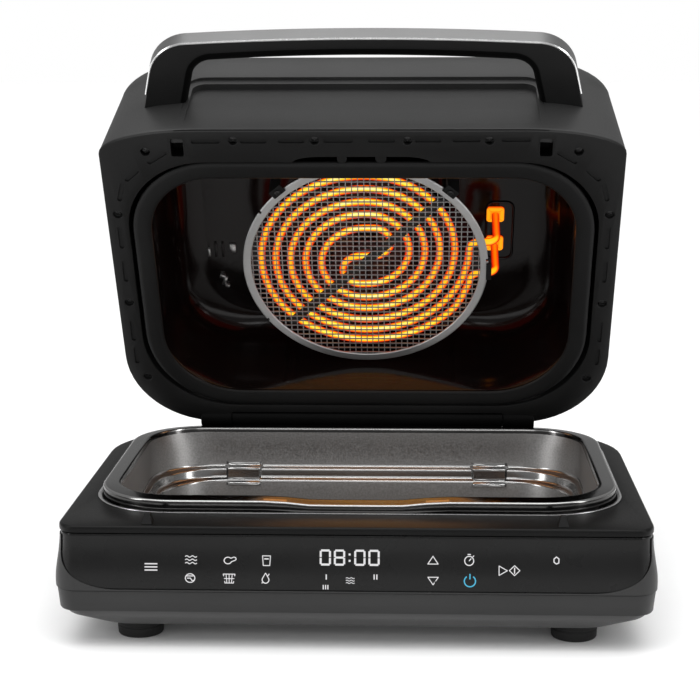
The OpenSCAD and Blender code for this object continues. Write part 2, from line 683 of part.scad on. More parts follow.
// Ends of the coil, to the back and to the front of its centre
lead_places = [8, -20];
lead_r = 8;
lead_x = guard_d / 2 + 7;
lead_top = roof_h - coil_h - 2;
function lead(y) = [[lead_x, y, lead_top], [lead_x, y, (lead_top + lead_r) / 2], [lead_x, y, lead_r],
  for (a = [30, 60, 90]) [lead_x - lead_r + lead_r * cos(a), y, lead_r - lead_r * sin(a)]];
lobe = (coil_in + coil_r(1)) / 4;
mid_y = -coil_pitch / 2;
low_a = 18;
coil_path = concat(
  lead(lead_places[0]),
  turn(-coil_pitch, coil_r(6), low_a, 90),
  turn(0, coil_r(5), 90, 270), turn(-coil_pitch, coil_r(4), 270, 450),
  turn(0, coil_r(3), 90, 270), turn(-coil_pitch, coil_r(2), 270, 450),
  turn(0, coil_r(1), 90, 270), turn(mid_y - lobe, lobe, 270, 450),
  turn(mid_y + lobe, lobe, 270, 90), turn(-coil_pitch, coil_r(1), 90, -90),
  turn(0, coil_r(2), 270, 90), turn(-coil_pitch, coil_r(3), 90, -90),
  turn(0, coil_r(4), 270, 90), turn(-coil_pitch, coil_r(5), 90, 4),
  [[coil_r(5) + 3, -coil_pitch - 4.5, 0]], reversed(lead(lead_places[1])));
lead_n = len(lead(0));
tube_sides = 8;
function unit(v) = v / norm(v);
function direction(i) = unit(coil_path[min(i + 1, len(coil_path) - 1)] - coil_path[max(i - 1, 0)]);
function side_vector(d) = abs(d.z) > 0.9 ? [0, 1, 0] : unit(cross([0, 0, 1], d));
module heating_coil() {
  last = len(coil_path) - 1;
  frames = [for (i = [0:last]) let (d = direction(i),
    across = i < lead_n ? [0, 1, 0] : i > last - lead_n ? [0, -1, 0] : side_vector(d),
    s = unit(across - (across * d) * d)) [s, cross(d, s)]];
  rings = [for (i = [0:last]) [for (j = [0:tube_sides - 1]) let (a = 360 * j / tube_sides)
    coil_path[i] + tube_d / 2 * (cos(a) * frames[i][0] + sin(a) * frames[i][1])]];
  color("#ff8a1e") in_lid() translate([0, coil_y, coil_h]) loft(reversed(rings));
}
coil_gap = min([for (i = [0:len(coil_path) - 1]) for (j = [i + 12:1:len(coil_path) - 1])
  norm(coil_path[i] - coil_path[j])]) - tube_d;
echo(least_gap_of_the_coil_to_itself = coil_gap);

// Square plates on the roof that take the coil's ends
terminal_s = 16;
terminal_t = 2;
module coil_terminals() {
  color("#d9862b") in_lid() for (y = lead_places)
    translate([lead_x - terminal_s / 2, coil_y + y - terminal_s / 2, roof_h - terminal_t])
      cube([terminal_s, terminal_s, terminal_t]);
}
// Flat bar across the coil at 45 degrees, on two posts from the roof
bar_w = 8;
bar_h = 2.4;
bar_l = 2 * (coil_r(5) + tube_d / 2 + 6);
module coil_bar() {
  color("#17110e") in_lid() translate([0, coil_y, coil_h - tube_d / 2 - bar_h]) rotate([0, 0, -45]) {
    translate([-bar_l / 2, -bar_w / 2, 0]) cube([bar_l, bar_w, bar_h]);
    for (x = [-1, 1]) translate([x * (bar_l / 2 - 2), 0, bar_h])
      cylinder(d = 4, h = roof_h - coil_h + tube_d / 2);
  }
}

// Guard: flat ring with a wire mesh, held by clips on the liner
ring_t = 1.6;
wire_t = 0.8;
mesh_cells = 15;
guard_in = guard_d / 2 - guard_w;
module guard_ring() {
  color("#8b8d90") in_lid() translate([0, coil_y, guard_h - ring_t]) difference() {
    cylinder(r = guard_d / 2, h = ring_t, $fn = 96);
    translate([0, 0, -1]) cylinder(r = guard_in, h = ring_t + 2, $fn = 96);
  }
}
module guard_mesh() {
  pitch = 2 * guard_in / mesh_cells;
  reach = guard_in + guard_w / 2;
  color("#a5a7aa") in_lid() translate([0, coil_y, guard_h]) for (i = [-7:7]) {
    l = sqrt(reach * reach - pow(i * pitch, 2));
    translate([-l, i * pitch - wire_t / 2, 0]) cube([2 * l, wire_t, wire_t]);
    translate([i * pitch - wire_t / 2, -l, wire_t]) cube([wire_t, 2 * l, wire_t]);
  }
}
// Two clips stand on the roof and reach under the ring in front; two posts carry it behind
clip_a = [-43, 223];
rear_a = [137, 43];
clip_w = 14;
clip_t = 1.5;
clip_reach = 5;
clip_r = guard_d / 2 + 4;
module guard_clips() {
  color("#121213") in_lid() translate([0, coil_y, 0]) {
    for (a = clip_a) rotate([0, 0, a]) {
      translate([guard_d / 2 - clip_reach, -clip_w / 2, guard_h - ring_t - clip_t])
        cube([clip_r + clip_t - guard_d / 2 + clip_reach, clip_w, clip_t]);
      translate([clip_r, -clip_w / 2, guard_h - ring_t]) cube([clip_t, clip_w, roof_h - guard_h + ring_t]);
    }
    for (a = rear_a) rotate([0, 0, a]) translate([guard_d / 2 - 2.2, 0, guard_h])
      cylinder(d = 4, h = roof_h - guard_h);
  }
}
module clip_screws() {
  color("#55585c") in_lid() translate([0, coil_y, 0]) for (a = clip_a) rotate([0, 0, a])
    translate([guard_d / 2 + 1, 0, guard_h - ring_t - clip_t - 1.6]) cylinder(d = 5, h = 1.6);
}
// Temperature probe on the left of the roof
probe_x = 50 - mouth_w / 2;
probe_l = 24;
module temperature_probe() {
  color("#c9ccd0") in_lid() translate([probe_x, coil_y + 20, roof_h]) {
    translate([0, 0, -probe_l]) cylinder(d = 5, h = probe_l);
    translate([-9, -6, -1.5]) cube([18, 12, 1.5]);
  }
}

// Parts between the liner's roof and the shell
shield_w = 236;
shield_d = 144;
module heat_shield() {
  color("#c4c6c9") in_lid() difference() {
    union() {
      translate([0, 0, shield_h]) plate(outline(shield_w / 2, coil_y - shield_d / 2, coil_y + shield_d / 2,
        [12, 12], [12, 12]), shield_t);
      both_sides() for (y = [-1, 1])
        translate([shield_w / 2 - 23, coil_y + y * (shield_d / 2 - 17), roof_top])
          cylinder(d = 8, h = shield_h - roof_top);
    }
    translate([0, coil_y, shield_h - 1]) cylinder(r = shaft_hole, h = shield_t + 2);
  }
}
motor_post_r = motor_d / 2 - 5;
cooling_d = 2 * motor_post_r - 12;
module motor_posts() {
  color("#9fa2a6") in_lid() translate([0, coil_y, shield_h + shield_t]) for (a = [30, 150, 270])
    rotate([0, 0, a]) translate([motor_post_r, 0, 0]) cylinder(d = 5, h = motor_h - shield_h - shield_t);
}
rotor_d = motor_d - 30;
module motor_frame() {
  color("#6f7276") in_lid() translate([0, coil_y, motor_h]) difference() {
    cylinder(d = motor_d, h = motor_t);
    translate([0, 0, motor_plate]) cylinder(d = rotor_d + 1, h = motor_t - 2 * motor_plate);
    translate([0, 0, -1]) cylinder(d = bearing_d, h = motor_t + 2);
  }
}
module motor_bearings() {
  color("#b98f4a") in_lid() for (z = [motor_h, motor_h + motor_t - motor_plate])
    translate([0, coil_y, z]) difference() {
      cylinder(d = bearing_d, h = motor_plate);
      translate([0, 0, -1]) cylinder(d = shaft_d + 2 * shaft_clear, h = motor_plate + 2);
    }
}
module thermal_cutout() {
  color("#d7d2c4") in_lid() translate([-80, coil_y, shield_h + shield_t]) {
    cylinder(d = 15, h = 8);
    translate([-12, -4, 0]) cube([24, 8, 1]);
  }
}
module lid_switch() {
  color("#202124") in_lid() translate([lug_x + slot_w / 2 + 1, lug_front, frame_t]) cube([7, 14, 9]);
}

// Fan group on the motor shaft
fan_h = 20;
fan_z = coil_top + 8;
blades = 12;
hub_d = 22;
blade_w = 38;
module motor_shaft() {
  color("#c8cacd") in_lid() translate([0, coil_y, fan_z - 4])
    cylinder(d = shaft_d, h = motor_h + motor_t - 1 - fan_z + 4);
}
module fan_impeller() {
  color("#77797c") in_lid() translate([0, coil_y, fan_z]) difference() {
    union() {
      translate([0, 0, fan_h - 1]) cylinder(d = fan_d, h = 1);
      cylinder(d = hub_d, h = fan_h);
      for (i = [0:blades - 1]) rotate([0, 0, i * 360 / blades])
        translate([fan_d / 2 - blade_w - 2, -0.5, 0]) cube([blade_w, 1, fan_h - 0.5]);
    }
    translate([0, 0, -1]) cylinder(d = shaft_d, h = fan_h + 2);
  }
}
module cooling_fan() {
  color("#4b4d50") in_lid() translate([0, coil_y, cooling_h]) difference() {
    union() {
      cylinder(d = 18, h = cooling_t);
      cylinder(d = cooling_d, h = 1);
      for (i = [0:8]) rotate([0, 0, i * 40]) translate([7, -0.5, 0.5])
        cube([cooling_d / 2 - 8, 1, cooling_t - 0.5]);
    }
    translate([0, 0, -1]) cylinder(d = shaft_d, h = cooling_t + 2);
  }
}
module motor_rotor() {
  color("#85888c") in_lid() translate([0, coil_y, motor_h + motor_plate + 1]) difference() {
    cylinder(d = rotor_d, h = motor_t - 2 * motor_plate - 2);
    translate([0, 0, -1]) cylinder(d = shaft_d, h = motor_t);
  }
}
module fan_nut() {
  color("#a9acb0") in_lid() translate([0, coil_y, fan_z - 5]) difference() {
    cylinder(d = 12, h = 5, $fn = 6);
    translate([0, 0, 1]) cylinder(d = shaft_d, h = 5);
  }
}

top_deck();
interlock_lugs();
control_panel();
rear_casing();
grey_band();
bottom_tray();
well_liner();
cooking_pot();
rubber_feet();
foot_screws();
deck_screws();
display_module();
touch_board();
power_board();
power_relays();
transformer();
filter_capacitor();
buzzer();
board_screws();
cord_gland();
hinge_block();
hinge_bushes();
lid_shell();
lid_rim_frame();
lid_seal();
lid_liner();
rim_screws();
hinge_pins();
handle_core();
handle_cover();
handle_screws();
heating_coil();
coil_terminals();
coil_bar();
guard_ring();
guard_mesh();
guard_clips();
clip_screws();
temperature_probe();
heat_shield();
motor_frame();
motor_posts();
motor_bearings();
thermal_cutout();
lid_switch();
fan_impeller();
motor_shaft();
motor_rotor();
cooling_fan();
fan_nut();
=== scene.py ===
import json
import math
import bmesh
import bpy
from mathutils import Matrix, Vector

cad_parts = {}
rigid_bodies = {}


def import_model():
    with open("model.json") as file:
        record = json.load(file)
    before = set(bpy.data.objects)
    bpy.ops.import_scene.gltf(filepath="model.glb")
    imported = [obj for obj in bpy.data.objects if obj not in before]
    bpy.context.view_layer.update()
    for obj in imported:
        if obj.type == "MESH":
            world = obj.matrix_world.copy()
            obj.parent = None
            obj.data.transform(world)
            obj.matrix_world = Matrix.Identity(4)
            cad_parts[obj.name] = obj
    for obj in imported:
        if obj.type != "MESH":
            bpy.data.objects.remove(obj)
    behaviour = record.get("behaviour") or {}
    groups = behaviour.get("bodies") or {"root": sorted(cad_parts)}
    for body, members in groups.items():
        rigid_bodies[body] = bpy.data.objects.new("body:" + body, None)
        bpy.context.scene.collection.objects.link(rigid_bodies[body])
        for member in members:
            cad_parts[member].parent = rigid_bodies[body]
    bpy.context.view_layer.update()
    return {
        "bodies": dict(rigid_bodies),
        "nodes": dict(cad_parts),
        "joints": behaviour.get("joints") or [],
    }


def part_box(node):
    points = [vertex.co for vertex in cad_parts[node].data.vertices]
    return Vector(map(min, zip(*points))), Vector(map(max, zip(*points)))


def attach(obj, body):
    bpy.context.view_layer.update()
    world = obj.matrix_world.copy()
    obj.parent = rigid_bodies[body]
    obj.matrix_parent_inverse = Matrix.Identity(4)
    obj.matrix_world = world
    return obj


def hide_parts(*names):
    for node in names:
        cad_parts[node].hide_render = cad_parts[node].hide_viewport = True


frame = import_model()
scene = bpy.context.scene
joints = {j["name"]: j for j in frame["joints"]}
nodes = frame["nodes"]

# Places: base shapes in mm from the deck's front edge and the table, lid shapes in mm as if closed
hinge = Vector(joints["lid_hinge"]["pos_m"])
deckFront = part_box("top_deck")[0].y
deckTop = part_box("top_deck")[1].z * 1000
hingeBack = (hinge.y - deckFront) * 1000
openTurn = math.radians(joints["lid_hinge"]["range_deg"][0])
hingeOver = 3.2  # hinge axis above the lid's rim plane
basePlace = Matrix.Translation((0, deckFront, 0)) @ Matrix.Scale(0.001, 4)
lidPlace = (Matrix.Translation(hinge) @ Matrix.Rotation(openTurn, 4, "X") @ Matrix.Scale(0.001, 4)
            @ Matrix.Translation((0, -hingeBack, -hingeOver)))


# Camera and lights
view = {"spot": (0.0495, -1.4743, 0.4514), "turn": 2.34, "pitch": 79.99, "roll": -0.19, "lens": 92.571}
camera = bpy.data.objects.new("camera", bpy.data.cameras.new("camera"))
camera.data.lens = view["lens"]
camera.data.sensor_width = 36
camera.matrix_world = (Matrix.Translation(view["spot"]) @ Matrix.Rotation(math.radians(view["turn"]), 4, "Z")
                       @ Matrix.Rotation(math.radians(view["pitch"]), 4, "X")
                       @ Matrix.Rotation(math.radians(view["roll"]), 4, "Z"))
scene.collection.objects.link(camera)
scene.camera = camera
scene.view_settings.view_transform = "Standard"


def addLight(name, kind, place, aim, energy, **extra):
    lamp = bpy.data.objects.new(name, bpy.data.lights.new(name, kind))
    lamp.data.energy = energy
    for key, value in extra.items():
        setattr(lamp.data, key, value)
    lamp.location = place
    lamp.rotation_euler = (Vector(aim) - Vector(place)).to_track_quat("-Z", "Y").to_euler()
    scene.collection.objects.link(lamp)
    return lamp


lights = {"leftStrip": ((-1.7, -0.9, 0.9), (0, 0, 0.15), 9, (0.35, 1.4)),  # place, aim, watts and size
          "rightStrip": ((1.7, -0.9, 0.9), (0, 0, 0.15), 9, (0.35, 1.4)),
          "frontSoft": ((0, -2.9, 1.5), (0, 0, 0.4), 6, (1.8, 0.5)),
          "frontLow": ((0, -1.75, 0.12), (0, 0, 0.16), 4.5, (1.0, 0.3)),
          "edgeStrip": ((0, -0.9, 2.3), (0, -0.05, 0.35), 6, (2.2, 0.1))}
addLight("sky", "SUN", (0, -0.5, 3), (0, 0, 0), 2.4, angle=math.radians(75))
for name, (place, aim, energy, (wide, tall)) in lights.items():
    lamp = addLight(name, "AREA", place, aim, energy, shape="RECTANGLE", size=wide, size_y=tall)
    lamp.visible_glossy = name != "frontLow"  # the low light leaves no streak on the panel
print("lights set")


# Material tools, all on object coordinates
def shaderOf(name):
    material = bpy.data.materials.new(name)
    material.use_nodes = True
    return material, material.node_tree, material.node_tree.nodes["Principled BSDF"]


def noiseOn(tree, scale, detail=3.0):
    coords = tree.nodes.new("ShaderNodeTexCoord")
    noise = tree.nodes.new("ShaderNodeTexNoise")
    noise.inputs["Scale"].default_value = scale
    noise.inputs["Detail"].default_value = detail
    tree.links.new(coords.outputs["Object"], noise.inputs["Vector"])
    return noise.outputs["Fac"]


def rampOn(tree, factor, stops):
    ramp = tree.nodes.new("ShaderNodeValToRGB")
    while len(ramp.color_ramp.elements) < len(stops):
        ramp.color_ramp.elements.new(0.5)
    for element, (place, colour) in zip(ramp.color_ramp.elements, stops):
        element.position = place
        element.color = (*colour, 1)
    tree.links.new(factor, ramp.inputs["Fac"])
    return ramp.outputs["Color"]


def spreadOn(tree, factor, low, high, start=0.3, end=0.7):
    spread = tree.nodes.new("ShaderNodeMapRange")
    for name, value in (("From Min", start), ("From Max", end), ("To Min", low), ("To Max", high)):
        spread.inputs[name].default_value = value
    tree.links.new(factor, spread.inputs["Value"])
    return spread.outputs["Result"]


def bumpOn(tree, factor, strength, depth):
    bump = tree.nodes.new("ShaderNodeBump")
    bump.inputs["Strength"].default_value = strength
    bump.inputs["Distance"].default_value = depth
    tree.links.new(factor, bump.inputs["Height"])
    return bump.outputs["Normal"]


def finishOf(name, dark, light, rough, grain, depth, strength, metallic=0.0, gloss=0.5, patch=14):
    material, tree, shader = shaderOf(name)
    broad = noiseOn(tree, patch, 4.0)
    fine = noiseOn(tree, grain)
    tree.links.new(rampOn(tree, broad, [(0.3, dark), (0.7, light)]), shader.inputs["Base Color"])
    tree.links.new(spreadOn(tree, fine, *rough), shader.inputs["Roughness"])
    tree.links.new(bumpOn(tree, fine, strength, depth), shader.inputs["Normal"])
    shader.inputs["Metallic"].default_value = metallic
    shader.inputs["Specular IOR Level"].default_value = gloss
    return material


def grey(value, warm=0.0):
    return (value * (1 + warm), value, value * (1 - warm))


def glowOf(name, stops, strength):
    material, tree, shader = shaderOf(name)
    heat = tree.nodes.new("ShaderNodeAttribute")
    heat.attribute_name = "glow"
    tree.links.new(rampOn(tree, heat.outputs["Fac"], stops), shader.inputs["Emission Color"])
    tree.links.new(rampOn(tree, noiseOn(tree, 160), [(0.3, (0.03, 0.012, 0.006)), (0.7, (0.06, 0.02, 0.01))]),
                   shader.inputs["Base Color"])
    tree.links.new(spreadOn(tree, noiseOn(tree, 500), 0.45, 0.65), shader.inputs["Roughness"])
    shader.inputs["Emission Strength"].default_value = strength
    return material


finish = {
    "floor": finishOf("floorPaper", grey(0.93), grey(0.95), (0.8, 0.9), 60, 0.0005, 0.05, gloss=0.1),
    "lid": finishOf("lidPlastic", grey(0.024), grey(0.03), (0.36, 0.5), 1500, 0.00012, 0.25, gloss=0.34),
    "grip": finishOf("gripPlastic", grey(0.011), grey(0.014), (0.4, 0.52), 1500, 0.00012, 0.25, gloss=0.14),
    # near-black plastic for the knuckles and hinge block, and painted shade on the grip's inner side, the frame's
    # outer wall and the slot boxes' deep walls
    "blackAndPaintedShade": finishOf("blackAndPaintedShade", grey(0.0015), grey(0.0025), (0.45, 0.55), 1500, 0.00012, 0.2, gloss=0.06),
    "frame": finishOf("framePlastic", grey(0.008), grey(0.011), (0.4, 0.52), 1500, 0.00012, 0.25, gloss=0.16),
    "seal": finishOf("sealRubber", grey(0.008), grey(0.01), (0.36, 0.48), 900, 0.0001, 0.2, gloss=0.14),
    "deck": finishOf("deckPlastic", grey(0.004), grey(0.0055), (0.34, 0.46), 1500, 0.00012, 0.22, gloss=0.12),
    "panel": finishOf("panelGloss", grey(0.005), grey(0.0065), (0.24, 0.32), 40, 0.0001, 0.03, gloss=0.22),
    "band": finishOf("bandPlastic", grey(0.03), grey(0.036), (0.4, 0.52), 1400, 0.00012, 0.25, gloss=0.3),
    "tray": finishOf("trayPlastic", grey(0.11), grey(0.125), (0.42, 0.55), 1200, 0.00015, 0.3, gloss=0.3),
    "rubber": finishOf("footRubber", grey(0.01), grey(0.014), (0.6, 0.75), 700, 0.0002, 0.3, gloss=0.3),
    "black": finishOf("blackPlastic", grey(0.009), grey(0.014), (0.35, 0.5), 1100, 0.00012, 0.25, gloss=0.4),
    "steel": finishOf("potSteel", grey(0.25, 0.012), grey(0.35, 0.012), (0.36, 0.48), 700, 0.00012, 0.3, 1.0,
                      patch=700),
    "rimSteel": finishOf("rimSteel", grey(0.3, 0.01), grey(0.36, 0.01), (0.14, 0.2), 900, 0.00003, 0.1, 1.0),
    # dark steel for the pot rim's flat top: a painted reflection of the dark lid above
    "rimPaintedReflection": finishOf("rimPaintedReflection", grey(0.05, 0.02), grey(0.08, 0.02), (0.12, 0.2), 700, 0.0001, 0.03, 1.0),
    "sheet": finishOf("sheetSteel", grey(0.55), grey(0.63), (0.22, 0.34), 1800, 0.00006, 0.25, 1.0),
    "guard": finishOf("guardSteel", grey(0.5), grey(0.58), (0.4, 0.5), 1500, 0.00006, 0.25, 1.0),
    "wire": finishOf("wireSteel", grey(0.34), grey(0.42), (0.45, 0.6), 1500, 0.00006, 0.25, 1.0),
    "strip": finishOf("handleMetal", grey(0.25), grey(0.28), (0.28, 0.36), 700, 0.00003, 0.06, 1.0),
    "polished": finishOf("polishedEdge", grey(0.8), grey(0.86), (0.2, 0.28), 700, 0.00003, 0.05, 1.0),
    "enamel": finishOf("enamel", (0.003, 0.002, 0.002), (0.006, 0.003, 0.0025), (0.1, 0.18), 260, 0.0003, 0.05,
                       gloss=0.26),
    "blackMetal": finishOf("blackMetal", (0.008, 0.006, 0.005), (0.016, 0.012, 0.01), (0.35, 0.5), 900, 0.0001, 0.3),
    "screw": finishOf("screwSteel", grey(0.3), grey(0.42), (0.25, 0.4), 1600, 0.00006, 0.25, 1.0),
    "darkScrew": finishOf("darkScrew", grey(0.02), grey(0.035), (0.28, 0.4), 1600, 0.00006, 0.25, 0.6),
    "board": finishOf("boardGreen", (0, 0.06, 0.02), (0.015, 0.085, 0.03), (0.35, 0.5), 800, 0.0001, 0.2),
    "blue": finishOf("caseBlue", (0, 0.05, 0.2), (0.014, 0.07, 0.26), (0.35, 0.5), 900, 0.0001, 0.2),
    "yellow": finishOf("tapeYellow", (0.5, 0.3, 0.03), (0.6, 0.38, 0.05), (0.35, 0.5), 900, 0.0001, 0.2),
    "cream": finishOf("bushCream", (0.6, 0.57, 0.48), (0.68, 0.65, 0.56), (0.4, 0.55), 900, 0.0001, 0.2),
    "bronze": finishOf("bronze", (0.35, 0.22, 0.08), (0.45, 0.3, 0.11), (0.35, 0.5), 1400, 0.0001, 0.3, 1.0),
    # The heater's glow colours, dark red to a white core, follow the facing-based glow attribute: a real glow, with
    # painted shade at the tube's edges and a painted highlight at its core
    "hot": glowOf("hotTube", [(0.0, (0.16, 0.002, 0.0)), (0.22, (0.62, 0.012, 0.0)), (0.42, (0.95, 0.1, 0.0)),
                              (0.6, (1.0, 0.36, 0.003)), (0.78, (1.0, 0.64, 0.01)), (0.9, (1.0, 0.76, 0.1)),
                              (1.0, (1.0, 0.9, 0.6))], 1.2),
    "mark": glowOf("markWhite", [(0.0, (0.6, 0.63, 0.66)), (1.0, (0.85, 0.88, 0.9))], 0.9),
    "cyan": glowOf("markCyan", [(0.0, (0.0, 0.3, 0.5)), (1.0, (0.02, 0.5, 0.75))], 1.0),
}
print("materials made", len(finish))


# World and floor: a grey room, paler above, that the camera sees as white
room = {"height": (-0.35, 0.25), "grey": (0.22, 0.38)}
world = bpy.data.worlds.new("studio")
world.use_nodes = True
scene.world = world
tree = world.node_tree
rays = tree.nodes.new("ShaderNodeLightPath")
way = tree.nodes.new("ShaderNodeTexCoord")
split = tree.nodes.new("ShaderNodeSeparateXYZ")
pale = tree.nodes.new("ShaderNodeMix")
pale.data_type = "RGBA"
pale.inputs["B"].default_value = (1, 1, 1, 1)
tree.links.new(way.outputs["Generated"], split.inputs["Vector"])
tree.links.new(spreadOn(tree, split.outputs["Z"], *room["grey"], *room["height"]), pale.inputs["A"])
tree.links.new(rays.outputs["Is Camera Ray"], pale.inputs["Factor"])
tree.links.new(pale.outputs["Result"], tree.nodes["Background"].inputs["Color"])

floor = bmesh.new()
bmesh.ops.create_grid(floor, x_segments=8, y_segments=8, size=15)
floorMesh = bpy.data.meshes.new("floor")
floor.to_mesh(floorMesh)
floor.free()
floorObject = bpy.data.objects.new("floor", floorMesh)
floorMesh.materials.append(finish["floor"])
scene.collection.objects.link(floorObject)
floorObject.visible_diffuse = False  # a white floor would light the lid from below
print("stage set")


# Modelling tools
def arcOf(bm, centre, radius, start, end, steps):
    points = [bm.verts.new((math.cos(math.radians(start)), math.sin(math.radians(start)), 0))]
    bmesh.ops.spin(bm, geom=points, cent=(0, 0, 0), axis=(0, 0, 1), angle=math.radians(end - start), steps=steps)
    edges = []
    while len(edges) < steps:  # the chain is walked, because new elements can take the places of freed ones
        edges.append(next(e for e in points[-1].link_edges if e not in edges))
        points.append(edges[-1].other_vert(points[-1]))
    bmesh.ops.scale(bm, vec=(radius[0], radius[1], 1), verts=points)
    bmesh.ops.translate(bm, vec=centre, verts=points)
    return points


def joined(bm, chains, closed, known, cuts=0):
    ends = chains[1:] + (chains[:1] if closed else [])
    links = [bm.edges.new((a[-1], b[0])) for a, b in zip(chains, ends)]
    if cuts:
        bmesh.ops.subdivide_edges(bm, edges=links, cuts=cuts)
    return [e for e in bm.edges if e not in known]


def loopOf(bm, half, front, back, frontR, backR, z, steps, cuts=0):
    known = set(bm.edges)
    corners = [(1, back - backR[1], backR, 0), (-1, back - backR[1], backR, 90),
               (-1, front + frontR[1], frontR, 180), (1, front + frontR[1], frontR, 270)]
    arcs = [arcOf(bm, (side * (half - r[0]), y, z), r, turn, turn + 90, steps) for side, y, r, turn in corners]
    return joined(bm, arcs, True, known, cuts)


def vertsOf(loop):
    return list({v for e in loop for v in e.verts})


def skin(bm, loops, closed=False):
    for one, two in zip(loops, loops[1:] + (loops[:1] if closed else [])):
        apart = vertsOf(two)  # moved apart for the bridge, because loops in one plane are bridged askew
        bmesh.ops.translate(bm, vec=(0, 0, 900), verts=apart)
        bmesh.ops.bridge_loops(bm, edges=list(one) + list(two))
        bmesh.ops.translate(bm, vec=(0, 0, -900), verts=apart)


def cap(bm, *loops):
    for loop in loops:
        bmesh.ops.edgeloop_fill(bm, edges=loop)


def solidOf(bm, loops):
    skin(bm, loops)
    cap(bm, loops[0], loops[-1])


def closeEnds(bm):
    bmesh.ops.holes_fill(bm, edges=[e for e in bm.edges if e.is_boundary], sides=0)


def shift(bm, loops, way):
    for loop in loops:
        bmesh.ops.translate(bm, vec=way, verts=vertsOf(loop))


def zTurn(angle):
    return Matrix.Rotation(math.radians(angle), 3, "Z")


def spotAt(radius, angle):
    return zTurn(angle) @ Vector((radius, 0, 0))


def blockOf(bm, size, place, turn=0.0, soft=0.0):
    made = bmesh.ops.create_cube(bm, size=1)["verts"]
    bmesh.ops.scale(bm, vec=size, verts=made)
    if soft:
        edges = list({e for v in made for e in v.link_edges})
        made = bmesh.ops.bevel(bm, geom=edges, offset=soft, affect="EDGES", segments=2, profile=0.5,
                               material=-1)["verts"]
    bmesh.ops.rotate(bm, cent=(0, 0, 0), matrix=zTurn(turn), verts=made)
    bmesh.ops.translate(bm, vec=place, verts=made)
    return made


def turned(bm, profile, place, turn=None, steps=48):
    known = set(bm.verts)
    points = [bm.verts.new((r, 0, z)) for r, z in profile]
    edges = [bm.edges.new(pair) for pair in zip(points, points[1:])]
    bmesh.ops.spin(bm, geom=points + edges, cent=(0, 0, 0), axis=(0, 0, 1), angle=math.tau, steps=steps,
                   use_merge=True)
    made = [v for v in bm.verts if v not in known]
    if turn:
        bmesh.ops.rotate(bm, cent=(0, 0, 0), matrix=turn, verts=made)
    bmesh.ops.translate(bm, vec=place, verts=made)


def objectOf(bm, name):
    bmesh.ops.remove_doubles(bm, verts=bm.verts, dist=0.0005)
    bmesh.ops.recalc_face_normals(bm, faces=bm.faces)
    mesh = bpy.data.meshes.new(name)
    bm.to_mesh(mesh)
    bm.free()
    made = bpy.data.objects.new(name, mesh)
    scene.collection.objects.link(made)
    return made


def carve(target, cutter):
    cutting = target.modifiers.new("carve", "BOOLEAN")
    cutting.operation = "DIFFERENCE"
    cutting.solver = "EXACT"
    cutting.object = cutter
    shown = target.evaluated_get(bpy.context.evaluated_depsgraph_get())
    cleared = bpy.data.meshes.new_from_object(shown)
    target.modifiers.clear()
    target.data = cleared
    bpy.data.objects.remove(cutter)


def settle(made, place, look, body, slot, *replaced, rounding=0.0, sharp=32, segments=2, second=None, third=None):
    made.data.materials.clear()
    made.data.materials.append(finish[look])
    for extra, test in filter(None, (second, third)):  # further finishes, on the faces that a test picks
        made.data.materials.append(finish[extra])
        for face in made.data.polygons:
            if test(face.center):
                face.material_index = len(made.data.materials) - 1
    made.data.transform(place)
    made.data.polygons.foreach_set("use_smooth", [True] * len(made.data.polygons))
    made.data.set_sharp_from_angle(angle=math.radians(sharp))
    if rounding:
        bevel = made.modifiers.new("edges", "BEVEL")
        bevel.width = rounding / 1000
        bevel.segments = segments
        bevel.limit_method = "ANGLE"
        bevel.angle_limit = math.radians(sharp)
        bevel.harden_normals = True
    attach(made, body)
    if replaced:
        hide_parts(*replaced)
    return made


# Base: deck, lugs, walls, band, tray and feet. A row of any piece is how far it goes out or in, and its height
base = {"half": 220, "depth": 331, "frontR": (14, 18), "backR": (88, 88), "deckT": 5.5, "panelTop": 86.2,
        "panelH": 39.6, "panelIn": -1, "belly": 3.9, "bellyTurn": 100, "bandH": 16.6, "wrap": 46, "seam": 0.3,
        "wall": 2.8}


def baseLoop(bm, out, z, side=None, extra=0):
    side = out if side is None else side
    frontR = tuple(max(r + out + extra, 1) for r in base["frontR"])
    backR = tuple(max(r + side, 1) for r in base["backR"])
    return loopOf(bm, base["half"] + side, -out, base["depth"] + side, frontR, backR, z, 12)


well = {"half": 202.5, "front": 39.5, "back": 307, "r": 61,
        "rows": [(24, 23), (14, 26), (10, 35), (0.3, 89.5), (0.3, 94.9), (-2.0, 95.0), (-2.5, 95.3), (-2.4, 95.7),
                 (-2.0, 95.85), (-0.8, 95.85), (0.6, 95.3), (1.1, 94.2), (10.8, 35), (14.8, 26.8), (24, 23.8)]}


def wellLoop(bm, inset, z):
    r = (well["r"] - inset, well["r"] - inset)
    return loopOf(bm, well["half"] - inset, well["front"] + inset, well["back"] - inset, r, r, z, 12)


deckShape = {"edge": [(-0.9, 0), (-0.25, 0.25), (0, 0.9), (0, 3.3), (-0.3, 4.5), (-0.95, 5.2), (-2, 5.5)],
             "mouth": [(-0.5, 5.5), (-0.1, 5.3), (0, 4.9), (0, 0)], "post": 4.5, "postFoot": 37, "postSoft": 0.4,
             "postIn": 0.5, "posts": [(207, 25), (207, 150), (140, 319)]}
bm = bmesh.new()
low = deckTop - base["deckT"]
skin(bm, [baseLoop(bm, o, low + z) for o, z in deckShape["edge"]]
     + [wellLoop(bm, o, low + z) for o, z in deckShape["mouth"]], closed=True)
r, foot, soft, top = deckShape["post"], deckShape["postFoot"], deckShape["postSoft"], low + deckShape["postIn"]
for x, y in deckShape["posts"]:
    for side in (-1, 1):
        turned(bm, [(0, foot), (r - soft, foot), (r, foot + soft), (r, top), (0, top)], (side * x, y, 0), steps=24)
settle(objectOf(bm, "deck"), basePlace, "deck", "base", "deck_plastic", "top_deck")

